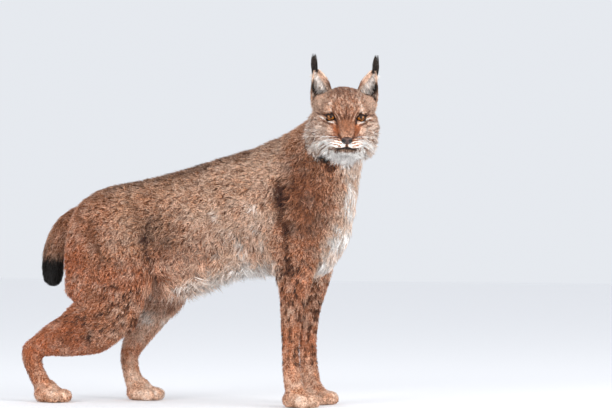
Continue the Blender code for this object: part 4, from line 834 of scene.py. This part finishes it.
# Every triangle of the hide, for setting roots evenly over it
hide.data.calc_loop_triangles()
corners = np.empty(len(hide.data.loop_triangles) * 3, np.int32)
hide.data.loop_triangles.foreach_get("vertices", corners)
corners = corners.reshape(-1, 3)
triangle_middles = skin_places[corners].mean(axis=1)
crossed = np.cross(
    skin_places[corners[:, 1]] - skin_places[corners[:, 0]],
    skin_places[corners[:, 2]] - skin_places[corners[:, 0]],
)
triangle_areas = np.linalg.norm(crossed, axis=1) / 2
triangle_locals = in_head(triangle_middles)

EYE_OPENING = (0.0142, 0.0092)
EYE_TILT = math.radians(24)
LIP_LINE = (-0.0770, 0.6)
LIP_BARE = 0.0022


def bare_places(local):
    """Where no hair grows: the eyes, the nose pad and the lips."""
    y, z = np.abs(local[:, 1]) - 0.037, local[:, 2]
    across = y * math.cos(EYE_TILT) + z * math.sin(EYE_TILT)
    above = z * math.cos(EYE_TILT) - y * math.sin(EYE_TILT)
    eyes = ((across / EYE_OPENING[0]) ** 2 + (above / EYE_OPENING[1]) ** 2 < 1) & (local[:, 0] > -0.035)
    nose = (np.abs(local[:, 1]) < 0.0150) & (z > -0.0690) & (z < -0.0510) & (local[:, 0] > 0.038)
    lip = np.abs(z - LIP_LINE[0] + LIP_LINE[1] * local[:, 1] ** 2) < LIP_BARE
    lips = lip & (np.abs(local[:, 1]) < 0.036) & (local[:, 0] > 0.005)
    return eyes | nose | lips


def roots_on(chosen, spacing):
    """Roots this far apart on the chosen triangles: places and normals."""
    indices = np.flatnonzero(chosen)
    order = indices[np.lexsort((triangle_middles[indices, 2], np.floor(triangle_middles[indices, 0] / 0.006)))]
    counts = np.cumsum(triangle_areas[order] / spacing[order] ** 2)
    total = int(counts[-1])
    picked = order[np.searchsorted(counts, (np.arange(total) + random.random(total)) * counts[-1] / total)]
    a, b = random.random((2, total, 1))
    over = a + b > 1
    a, b = np.where(over, 1 - a, a), np.where(over, 1 - b, b)
    c = corners[picked]
    spots = skin_places[c[:, 0]] * (1 - a - b) + skin_places[c[:, 1]] * a + skin_places[c[:, 2]] * b
    normals = unit(skin_normals[c[:, 0]] * (1 - a - b) + skin_normals[c[:, 1]] * a + skin_normals[c[:, 2]] * b)
    keep = ~bare_places(in_head(spots))
    return spots[keep], normals[keep]


def nearest_skin(points):
    """The hide's nearest place to each point, and the normal there."""
    hits = [skin_tree.find_nearest(Vector(p)) for p in points]
    return np.array([h[0] for h in hits]), np.array([h[1] for h in hits])


def tuft_mesh(name, paths, normals, widths, marks, chances, clumps, thin=0.5, along=None):
    """One mesh of closed three-sided tufts, each along its own path, with its colours and its patch."""
    total, rings = paths.shape[0], paths.shape[1] - 1
    heading = unit((paths[:, 1:] - paths[:, :-1]).reshape(-1, 3)).reshape(total, rings, 3)
    across = unit(np.cross(heading, normals[:, None]).reshape(-1, 3)).reshape(total, rings, 3)
    above = np.cross(across, heading)
    turns = np.array((90, 210, 330)) * math.pi / 180
    shares = np.linspace(0, 1, rings + 1)[:-1]
    taper = (0.75 + 0.9 * shares) * (1 - shares) ** 0.55
    points = np.empty((total, rings * 3 + 1, 3))
    for ring in range(rings):
        for k, turn in enumerate(turns):
            offset = across[:, ring] * math.cos(turn) + above[:, ring] * math.sin(turn) * thin
            points[:, ring * 3 + k] = paths[:, ring] + offset * (widths * taper[ring])[:, None]
    points[:, -1] = paths[:, -1]
    faces = [(0, 2, 1)]
    for ring in range(rings - 1):
        for k in range(3):
            a, b = ring * 3 + k, ring * 3 + (k + 1) % 3
            faces += [(a, b, b + 3), (a, b + 3, a + 3)]
    tip, last = rings * 3, (rings - 1) * 3
    faces += [(last + k, last + (k + 1) % 3, tip) for k in range(3)]
    faces = np.array(faces)
    every = (faces[None] + (np.arange(total) * (tip + 1))[:, None, None]).reshape(-1, 3)
    mesh = bpy.data.meshes.new(name)
    mesh.vertices.add(total * (tip + 1))
    mesh.vertices.foreach_set("co", points.astype(np.float32).ravel())
    mesh.loops.add(every.size)
    mesh.loops.foreach_set("vertex_index", every.astype(np.int32).ravel())
    mesh.polygons.add(len(every))
    mesh.polygons.foreach_set("loop_start", np.arange(0, every.size, 3, dtype=np.int32))
    mesh.polygons.foreach_set("use_smooth", np.ones(len(every), bool))
    mesh.update(calc_edges=True)
    piece = bpy.data.objects.new(name, mesh)
    bpy.context.scene.collection.objects.link(piece)
    carry(piece, "markings", np.repeat(marks, tip + 1, axis=0))
    strands = np.zeros((total, tip + 1, 4))
    steps = shares if along is None else np.array(along)
    for ring in range(rings):
        strands[:, ring * 3 : ring * 3 + 3, 0] = steps[ring]
    strands[:, -1, 0] = 1
    strands[:, :, 1], strands[:, :, 2] = chances[:, None], clumps[:, None]
    carry(piece, "strand", strands.reshape(-1, 4))
    flat = unwrapped(paths[:, 0])
    patch = np.empty((total, tip + 1, 2))
    for ring in range(rings):
        for k in range(3):
            patch[:, ring * 3 + k] = flat + PATCH * (np.array((k / 2, shares[ring])) - 0.5)
    patch[:, -1] = flat + PATCH * np.array((0, 0.5))
    layer = mesh.uv_layers.new(name="OFBake")
    layer.data.foreach_set("uv", patch.reshape(-1, 2)[every.ravel()].astype(np.float32).ravel())
    return piece


CLUMP_PULL = 0.62
FLOOR_GAP = 0.0015
WAVE = 0.0036
RISE = 0.90
HALF_WIDTH = 0.00115
coat_hair = coat_finish("coat_finish", 0.3, 0.08)


def groomed(name, chosen, spacing, clump_spacing, segments, shorter=1.0, turned=0.24):
    """A piece of the coat on the chosen triangles: roots this far apart, drawn into clumps."""
    roots, normals = roots_on(chosen, spacing)
    coat = coat_at(roots)
    total = len(roots)
    chance = random.random(total)
    lengths = coat[:, 3] * (shorter + (1.25 - shorter) * eased(coat[:, 5], 0.15, 0.5)) * (0.75 + 0.5 * random.random(total))
    depths, hangs = coat[:, 4] * (0.7 + 0.6 * random.random(total)), coat[:, 5]
    lie = coat[:, :3] + random.normal(0, 0.14, (total, 3))
    # Clumps: the nearest of the chosen middles draws the tuft's tip towards its own
    middles = random.permutation(total)[: max(2, int(total * (spacing[chosen].mean() / clump_spacing) ** 2))]
    finder = KDTree(len(middles))
    for number, index in enumerate(middles):
        finder.insert(Vector(roots[index]), number)
    finder.balance()
    owner = np.array([finder.find(Vector(p))[1] for p in roots])
    clump_shade = random.random(len(middles))[owner]
    clump_rise = (0.75 + 0.5 * random.random(len(middles)))[owner]
    clump_turn = random.normal(0, turned, (len(middles), 3))[owner]
    clump_phase = (random.random(len(middles)) * 2 * math.pi)[owner]
    centre = roots[middles][owner]
    lie = lie + clump_turn
    place, normal = roots.copy(), normals.copy()
    paths = [roots - normals * 0.0012]
    for step in range(1, segments + 1):
        share = step / segments
        tangent = unit(lie - normal * (lie * normal).sum(axis=1, keepdims=True))
        free = unit(unit(lie) + normal * 0.5 * (1 - share))
        ahead = place + tangent * (lengths / segments)[:, None]
        on_skin, skin_normal = nearest_skin(ahead)
        rise = RISE * depths * clump_rise * (1 - (1 - share) ** 1.7) * (1 + 0.15 * share)
        laid = on_skin + skin_normal * rise[:, None]
        loose = place + free * (lengths / segments)[:, None]
        mixed_in = hangs[:, None]
        new = laid * (1 - mixed_in) + loose * mixed_in
        pulled = centre + (new - roots)
        new = new + (pulled - new) * CLUMP_PULL * share**1.5
        sideways = unit(np.cross(tangent, skin_normal))
        new = new + sideways * (WAVE * np.sin(clump_phase + 4.2 * share) * share * lengths / 0.04)[:, None]
        new[:, 2] = np.maximum(new[:, 2], FLOOR_GAP)
        paths.append(new)
        place, normal = new, unit(skin_normal)
    paths = np.stack(paths, axis=1)
    widths = HALF_WIDTH * coat[:, 6] * (0.75 + 0.5 * random.random(total))
    marks = markings_at(roots, coat, normals)
    piece = tuft_mesh(name, paths, normals, widths, marks, chance, clump_shade)
    piece.data.materials.append(coat_hair)
    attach(piece, "root")
    return piece


x, y, z = triangle_middles.T
hx, hy, hz = triangle_locals.T
on_head = inside_ruff(triangle_locals) > 0
side = y > MIDDLE_Y
legs = ~on_head & (z < np.where(x > 0, 0.300, 0.235)) & (np.abs(x - 0.05) > 0.12)
tail = ~on_head & (x < -0.385) & (z > 0.27)
trunk = ~(on_head | legs | tail)
fringe = trunk & (coat_at(triangle_middles)[:, 5] > 0.25)
trunk = trunk & ~fringe
front = trunk & (x > 0.235)
middle = trunk & ~front & (x > -0.130)
rear = trunk & ~front & ~middle
face = on_head & (hx > -0.035)
ruff = on_head & ~face
even = np.ones(len(x))
groomed("coat_face", face, 0.00155 * even, 0.0035, 2, turned=0.20)
groomed("coat_ruff", ruff, 0.0021 * even, 0.0055, 2)
groomed("coat_fringe", fringe, 0.0031 * even, 0.008, 3)
for label, half in (("right", ~side), ("left", side)):
    groomed(f"coat_front_{label}", front & half, 0.0028 * even, 0.0052, 2, 0.55, 0.42)
    groomed(f"coat_flank_{label}", middle & half, 0.0028 * even, 0.0056, 2, 0.55, 0.48)
    groomed(f"coat_rear_{label}", rear & half, 0.0028 * even, 0.0056, 2, 0.55, 0.46)
groomed("coat_forelegs", legs & (x > 0), 0.0028 * even, 0.0045, 2, 0.75)
groomed("coat_hind_legs", legs & (x < 0), 0.0028 * even, 0.0045, 2, 0.75)
groomed("coat_tail", tail, 0.0026 * even, 0.0060, 2)

# Eyes
# Amber glass eyes with round pupils, set deep between the lids. A dark rim of bare skin runs round each
# opening, thicker above, and ends in a point at both corners.

EYE_RADIUS = 0.0128
CORNEA_RISE, CORNEA_REACH = 0.0007, 0.80
LID_RADIUS = 0.0137
LID_HALF, LID_ABOVE, LID_BELOW = 0.0119, 0.0054, 0.0056
LID_WIDTHS = (0.0014, 0.0010)
LID_POINTS = 40

eye_finish = bpy.data.materials.new("eye_finish")
eye_finish.use_nodes = True
tree = eye_finish.node_tree
shader = tree.nodes["Principled BSDF"]
reader = tree.nodes.new("ShaderNodeAttribute")
reader.attribute_name = "eye_place"
rings = tree.nodes.new("ShaderNodeSeparateColor")
tree.links.new(reader.outputs["Color"], rings.inputs[0])
rays = tree.nodes.new("ShaderNodeTexNoise")
rays.inputs["Scale"].default_value = 9
rays.inputs["Detail"].default_value = 3
spread = tree.nodes.new("ShaderNodeCombineXYZ")
tree.links.new(rings.outputs[1], spread.inputs[0])
tree.links.new(rings.outputs[2], spread.inputs[1])
tree.links.new(spread.outputs[0], rays.inputs["Vector"])
stain = tree.nodes.new("ShaderNodeMath")
stain.operation = "MULTIPLY_ADD"
tree.links.new(rays.outputs[0], stain.inputs[0])
stain.inputs[1].default_value = 0.16
tree.links.new(rings.outputs[0], stain.inputs[2])
iris = tree.nodes.new("ShaderNodeValToRGB")
tree.links.new(stain.outputs[0], iris.inputs[0])
IRIS_BANDS = (
    (0.00, "#0a0706"), (0.27, "#0c0806"), (0.31, "#4a2a10"), (0.42, "#9a5c22"),
    (0.62, "#b5702b"), (0.74, "#7c461b"), (0.82, "#24140b"), (1.00, "#120b08"),
)
for number, (at, code) in enumerate(IRIS_BANDS):
    stop = iris.color_ramp.elements[number] if number < 2 else iris.color_ramp.elements.new(at)
    stop.position, stop.color = at, paint(code)
# Painted lid shadow: the iris darkens towards its top, under the upper lid
lid_shadow = tree.nodes.new("ShaderNodeMapRange")
lid_shadow.inputs["From Min"].default_value, lid_shadow.inputs["From Max"].default_value = 0.46, 0.66
tree.links.new(rings.outputs[2], lid_shadow.inputs["Value"])
shaded = tree.nodes.new("ShaderNodeMix")
shaded.data_type = "RGBA"
tree.links.new(lid_shadow.outputs[0], shaded.inputs[0])
tree.links.new(iris.outputs[0], shaded.inputs[6])
shaded.inputs[7].default_value = paint("#2b1a12")
tree.links.new(shaded.outputs[2], shader.inputs["Base Color"])
wet = tree.nodes.new("ShaderNodeMath")
wet.operation = "MULTIPLY_ADD"
tree.links.new(rays.outputs[0], wet.inputs[0])
wet.inputs[1].default_value, wet.inputs[2].default_value = 0.10, 0.16
tree.links.new(wet.outputs[0], shader.inputs["Roughness"])
shader.inputs["Coat Weight"].default_value = 0.1
shader.inputs["Specular IOR Level"].default_value = 0.25
shader.inputs["Coat Roughness"].default_value = 0.03

rim_finish = bpy.data.materials.new("rim_finish")
rim_finish.use_nodes = True
tree = rim_finish.node_tree
shader = tree.nodes["Principled BSDF"]
place = tree.nodes.new("ShaderNodeTexCoord")
pores = tree.nodes.new("ShaderNodeTexNoise")
pores.inputs["Scale"].default_value = 1400
tree.links.new(place.outputs["Object"], pores.inputs["Vector"])
skin_tone = tree.nodes.new("ShaderNodeValToRGB")
skin_tone.color_ramp.elements[0].color = paint("#120c0a")
skin_tone.color_ramp.elements[1].color = paint("#2a1b16")
tree.links.new(pores.outputs[0], skin_tone.inputs[0])
tree.links.new(skin_tone.outputs[0], shader.inputs["Base Color"])
raised = tree.nodes.new("ShaderNodeBump")
raised.inputs["Strength"].default_value = 0.5
raised.inputs["Distance"].default_value = 0.0004
tree.links.new(pores.outputs[0], raised.inputs["Height"])
tree.links.new(raised.outputs[0], shader.inputs["Normal"])
shader.inputs["Roughness"].default_value = 0.62
shader.inputs["Specular IOR Level"].default_value = 0.25


def tube(name, path, widths, closed, flat=None):
    """A round tube along a path, with its own width at each point, as a closed mesh."""
    line = bpy.data.curves.new(name, "CURVE")
    line.dimensions = "3D"
    line.bevel_depth = 1.0
    line.bevel_resolution = 3
    line.use_fill_caps = True
    spline = line.splines.new("POLY")
    spline.points.add(len(path) - 1)
    spline.use_cyclic_u = closed
    for point, place, width in zip(spline.points, path, widths):
        point.co = (*place, 1)
        point.radius = width
    piece = bpy.data.objects.new(name, line)
    bpy.context.scene.collection.objects.link(piece)
    bpy.ops.object.select_all(action="DESELECT")
    piece.select_set(True)
    bpy.context.view_layer.objects.active = piece
    bpy.ops.object.convert(target="MESH")
    piece = bpy.context.object
    for polygon in piece.data.polygons:
        polygon.use_smooth = True
    return piece


for label, sign in (("left", 1), ("right", -1)):
    centre = sum(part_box(f"eye_{label}"), Vector()) / 2
    bpy.ops.object.select_all(action="DESELECT")
    bpy.ops.mesh.primitive_uv_sphere_add(segments=48, ring_count=32, radius=1)
    eye = bpy.context.object
    eye.name = eye.data.name = f"glass_eye_{label}"
    unit_places = points_of(eye)[:, [2, 0, 1]]
    from_axis = np.hypot(unit_places[:, 1], unit_places[:, 2])
    front = unit_places[:, 0] > 0
    rise = np.where(front, CORNEA_RISE * np.clip(1 - (from_axis / CORNEA_REACH) ** 2, 0, 1), 0)
    placed = unit_places * (EYE_RADIUS + rise)[:, None]
    eye.data.vertices.foreach_set("co", (placed @ head_turn.T + np.array(centre)).astype(np.float32).ravel())
    ringed = np.ones((len(unit_places), 4))
    ringed[:, 0] = np.where(front, from_axis, 1)
    ringed[:, 1:3] = unit_places[:, 1:] * 0.5 + 0.5
    carry(eye, "eye_place", ringed)
    eye.data.materials.append(eye_finish)
    for polygon in eye.data.polygons:
        polygon.use_smooth = True
    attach(eye, "root")
    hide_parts(f"eye_{label}")

    turns = np.linspace(0, 2 * math.pi, LID_POINTS, endpoint=False)
    across, above = LID_HALF * np.cos(turns), np.sin(turns)
    lifted = np.where(above > 0, LID_ABOVE, LID_BELOW) * np.sign(above) * np.abs(above) ** 1.25
    y = sign * (across * math.cos(EYE_TILT) - lifted * math.sin(EYE_TILT))
    z = across * math.sin(EYE_TILT) + lifted * math.cos(EYE_TILT)
    x = np.sqrt(LID_RADIUS**2 - y**2 - z**2)
    corner = np.abs(np.cos(turns)) ** 8
    path = np.stack([x, y, z], axis=1) @ head_turn.T + np.array(centre)
    widths = np.where(above > 0, LID_WIDTHS[0], LID_WIDTHS[1]) * (1 - 0.35 * corner)
    widths = (widths + np.roll(widths, 1) + np.roll(widths, -1)) / 3
    rim = tube(f"lid_rim_{label}", path, widths, True)
    rim.data.materials.append(rim_finish)
    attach(rim, "root")

# Nose
# A leathery pad, pinkish brown, wider above than below. Its nostrils are comma-shaped dents that open to the
# sides, painted black with painted shade, and a groove runs down its middle to the lip, darkened with painted
# shade.

NOSE_HALF = (0.0085, 0.0134, 0.0082)
NOSE_MIDDLE = (0.0500, 0.0, -0.0590)
NOSTRIL = (0.0078, -0.0005)

bpy.ops.object.select_all(action="DESELECT")
bpy.ops.mesh.primitive_uv_sphere_add(segments=96, ring_count=64, radius=1)
nose_pad = bpy.context.object
nose_pad.name = nose_pad.data.name = "nose_pad"
u = points_of(nose_pad)[:, [2, 0, 1]]
squared = u / (np.abs(u) ** 3.2).sum(axis=1, keepdims=True) ** (1 / 3.2)
ahead, aside, upward = squared.T
narrow = 0.62 + 0.38 * eased(upward, -1.0, 0.35)
y = aside * NOSE_HALF[1] * narrow
z = upward * NOSE_HALF[2] + 0.0012 * np.abs(aside) * eased(upward, -0.4, 0.6)
x = ahead * NOSE_HALF[0] * (1 - 0.25 * aside**2) * (1 - 0.22 * eased(-upward, -0.2, 1.0))
inward = np.hypot((np.abs(y) - NOSTRIL[0]) / 0.0046, (z - NOSTRIL[1]) / 0.0042)
tail_line = np.hypot((np.abs(y) - 0.0108) / 0.0030, (z - 0.0002 - 0.25 * (np.abs(y) - NOSTRIL[0])) / 0.0013)
nostril = np.clip(np.exp(-(inward**4)) + 0.8 * np.exp(-(tail_line**4)), 0, 1) * (ahead > 0)
groove = np.exp(-((y / 0.0006) ** 2)) * eased(-upward, -0.3, 0.2) * (ahead > 0)
x = x - 0.0042 * nostril - 0.0010 * groove
placed = np.stack([x, y, z], axis=1) + np.array(NOSE_MIDDLE)
nose_pad.data.vertices.foreach_set("co", from_head(placed).astype(np.float32).ravel())
tone_and_shade = np.zeros((len(u), 4))
# Painted shade in the nostrils and the groove
tone_and_shade[:, 0] = np.clip(nostril * 1.4 + 0.7 * groove, 0, 1)
# The pad darker towards its bottom and its sides
tone_and_shade[:, 1] = np.clip(0.75 * eased(-upward, 0.35, 0.95) + 0.5 * eased(np.abs(aside), 0.6, 1.0), 0, 1)
carry(nose_pad, "pad_tone_and_shade", tone_and_shade)
for polygon in nose_pad.data.polygons:
    polygon.use_smooth = True
nose_finish = bpy.data.materials.new("nose_finish")
nose_finish.use_nodes = True
tree = nose_finish.node_tree
shader = tree.nodes["Principled BSDF"]
reader = tree.nodes.new("ShaderNodeAttribute")
reader.attribute_name = "pad_tone_and_shade"
tone_and_shade_parts = tree.nodes.new("ShaderNodeSeparateColor")
tree.links.new(reader.outputs["Color"], tone_and_shade_parts.inputs[0])
place = tree.nodes.new("ShaderNodeTexCoord")
leather = tree.nodes.new("ShaderNodeTexVoronoi")
leather.inputs["Scale"].default_value = 1500
tree.links.new(place.outputs["Object"], leather.inputs["Vector"])
current = None
# The last tone, near black, is the painted shade in the nostrils and the groove
for tone, share in (("#45302a", None), ("#2e1d19", tone_and_shade_parts.outputs[1]), ("#0a0605", tone_and_shade_parts.outputs[0])):
    if current is None:
        current = tree.nodes.new("ShaderNodeValToRGB")
        current.color_ramp.elements[0].color = paint("#5a3f37")
        current.color_ramp.elements[1].color = paint(tone)
        tree.links.new(leather.outputs["Distance"], current.inputs[0])
        current = current.outputs[0]
        continue
    blend = tree.nodes.new("ShaderNodeMix")
    blend.data_type = "RGBA"
    tree.links.new(share, blend.inputs[0])
    tree.links.new(current, blend.inputs[6])
    blend.inputs[7].default_value = paint(tone)
    current = blend.outputs[2]
tree.links.new(current, shader.inputs["Base Color"])
raised = tree.nodes.new("ShaderNodeBump")
raised.inputs["Strength"].default_value = 0.6
raised.inputs["Distance"].default_value = 0.0004
raised.invert = True
tree.links.new(leather.outputs["Distance"], raised.inputs["Height"])
tree.links.new(raised.outputs[0], shader.inputs["Normal"])
shader.inputs["Roughness"].default_value = 0.38
nose_pad.data.materials.append(nose_finish)
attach(nose_pad, "root")
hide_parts("nose")

# Lips
# Bare dark skin along the mouth: the upper lip runs down and out from the groove under the nose, and the
# lower lip lies close under it. Both follow the muzzle round to its corners.

UPPER_LIP = ((0, -0.0745), (0.004, -0.0752), (0.010, -0.0768), (0.017, -0.0775), (0.025, -0.0768), (0.034, -0.0750))
LOWER_LIP = ((0, -0.0778), (0.008, -0.0786), (0.016, -0.0796), (0.024, -0.0786), (0.030, -0.0768))
LIP_WIDTH = 0.0014


def on_face(y, z, proud=0.0):
    """The place on the face's skin straight behind y and z, seen from the front."""
    start = Vector(from_head(np.array((0.12, y, z))))
    hit = skin_tree.ray_cast(start, Vector(-head_look))
    return np.array(hit[0] + Vector(head_look) * proud) if hit[0] else None


for name, line in (("upper_lip", UPPER_LIP), ("lower_lip", LOWER_LIP)):
    line = np.array(line)
    ys = np.linspace(-line[-1, 0], line[-1, 0], 49)
    zs = np.interp(np.abs(ys), line[:, 0], line[:, 1])
    path = [on_face(y, z, 0.0004) for y, z in zip(ys, zs)]
    path = np.array([p for p in path if p is not None])
    for _ in range(2):
        path[1:-1] = (path[:-2] + 2 * path[1:-1] + path[2:]) / 4
    ends = np.sin(np.linspace(0.06, math.pi - 0.06, len(path))) ** 0.5
    lip = tube(name, path, LIP_WIDTH * ends, False)
    lip.data.materials.append(rim_finish)
    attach(lip, "root")

# Whiskers
# Stiff white hairs in four rows on each side of the muzzle, bent outwards and a little down.

WHISKERS = 10
WHISKER_HALF = 0.00024
paths, ways = [], []
for sign in (-1, 1):
    for number in range(WHISKERS):
        row = number % 4
        start = 0.020 + 0.0045 * (number // 4) + 0.001 * row
        root = on_face(sign * start, -0.0500 - 0.0050 * row, -0.0005)
        length = 0.034 + 0.014 * random.random()
        way = np.array((0.30 + 0.15 * random.random(), sign, 0.12 - 0.14 * row + 0.1 * random.random()))
        way = unit(way[None])[0]
        steps = np.linspace(0, 1, 8)
        bend = np.array((-0.55, 0.0, -0.35))
        local = steps[:, None] * way * length + (steps**2)[:, None] * bend * length * 0.55
        paths.append(root + local @ head_turn.T)
paths = np.array(paths)
count = len(paths)
white = np.tile((1.0, 0, 0, 0), (count, 1))
whiskers = tuft_mesh(
    "whiskers", paths, np.tile(np.array(head_up), (count, 1)), np.full(count, WHISKER_HALF), white,
    np.full(count, 0.9), np.full(count, 0.9), thin=1.0, along=[0.7] * 7,
)
whiskers.data.materials.append(coat_hair)
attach(whiskers, "root")

# Ear hair and pencils
# Long cream hair stands over the hollow of each ear from its inner edge, and a stiff black pencil of
# hair grows from each tip.

EAR_INNER, EAR_TOP = np.array((0.040, 0.071)), np.array((0.071, 0.113))
EAR_HAIRS = 360
PENCIL_HAIRS = 150
PENCIL_ROOT = np.array((-0.0505, 0.0745, 0.1175))
PENCIL_TOP = 0.158
paths, ways, widths, marks, labels = [], [], [], [], []
for sign in (-1, 1):
    for _ in range(EAR_HAIRS):
        up_edge, inwards = random.random() ** 0.9, random.random() ** 1.5
        y, z = EAR_INNER + (EAR_TOP - EAR_INNER) * up_edge
        y, z = y + 0.014 * inwards * (1 - 0.6 * up_edge), z - 0.012 * inwards * (1 - 0.6 * up_edge)
        root = on_face(sign * y, z, -0.0006)
        if root is None:
            continue
        length = (0.020 - 0.009 * up_edge) * (0.7 + 0.6 * random.random())
        fan = math.radians(-62 + 38 * up_edge + random.normal(0, 9))
        way = np.array((0.25, math.cos(fan), math.sin(fan)))
        steps = np.linspace(0, 1, 4)[:, None]
        local = steps * way * length + steps**2 * np.array((-0.12, 0, -0.18)) * length
        local = local * np.array((1, sign, 1))
        paths.append(root + local @ head_turn.T)
        widths.append(0.0008 + 0.0005 * random.random())
        marks.append((0.70 + 0.25 * random.random(), 0.1, 0.25 * (random.random() > 0.7), 0.0))
count = len(paths)
ear_hair = tuft_mesh(
    "ear_hair", np.array(paths), np.tile(np.array(head_look), (count, 1)), np.array(widths), np.array(marks),
    random.random(count), random.random(count), along=[0.25, 0.5, 0.75],
)
ear_hair.data.materials.append(coat_hair)
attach(ear_hair, "root")
for label, sign in (("left", 1), ("right", -1)):
    spread = np.clip(random.normal(0, 1, (PENCIL_HAIRS, 3)), -1.6, 1.6) * np.array((0.0028, 0.0044, 0.0028))
    spread[:, 2] -= 0.004 * np.abs(spread[:, 1]) / 0.004
    roots = (PENCIL_ROOT + spread) * np.array((1, sign, 1))
    top = np.full((PENCIL_HAIRS, 3), (-0.053, 0.0765 * sign, PENCIL_TOP)) + spread * np.array((0.9, 0.8 * sign, 0))
    top[:, 2] -= 0.022 * random.random(PENCIL_HAIRS) ** 1.3
    steps = np.linspace(0, 1, 5)[None, :, None]
    bow = random.normal(0, 0.0012, (PENCIL_HAIRS, 1, 3)) * np.sin(steps * math.pi)
    local = roots[:, None] * (1 - steps) + top[:, None] * steps + bow
    paths = local @ head_turn.T + head_origin
    black = np.tile((0.0, 0, 0.6, 0.92), (PENCIL_HAIRS, 1))
    pencil = tuft_mesh(
        f"ear_pencil_{label}", paths, np.tile(np.array(head_look), (PENCIL_HAIRS, 1)),
        np.full(PENCIL_HAIRS, 0.0006), black, random.random(PENCIL_HAIRS), random.random(PENCIL_HAIRS), thin=0.8,
    )
    pencil.data.materials.append(coat_hair)
    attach(pencil, "root")
    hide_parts(f"ear_tuft_{label}")
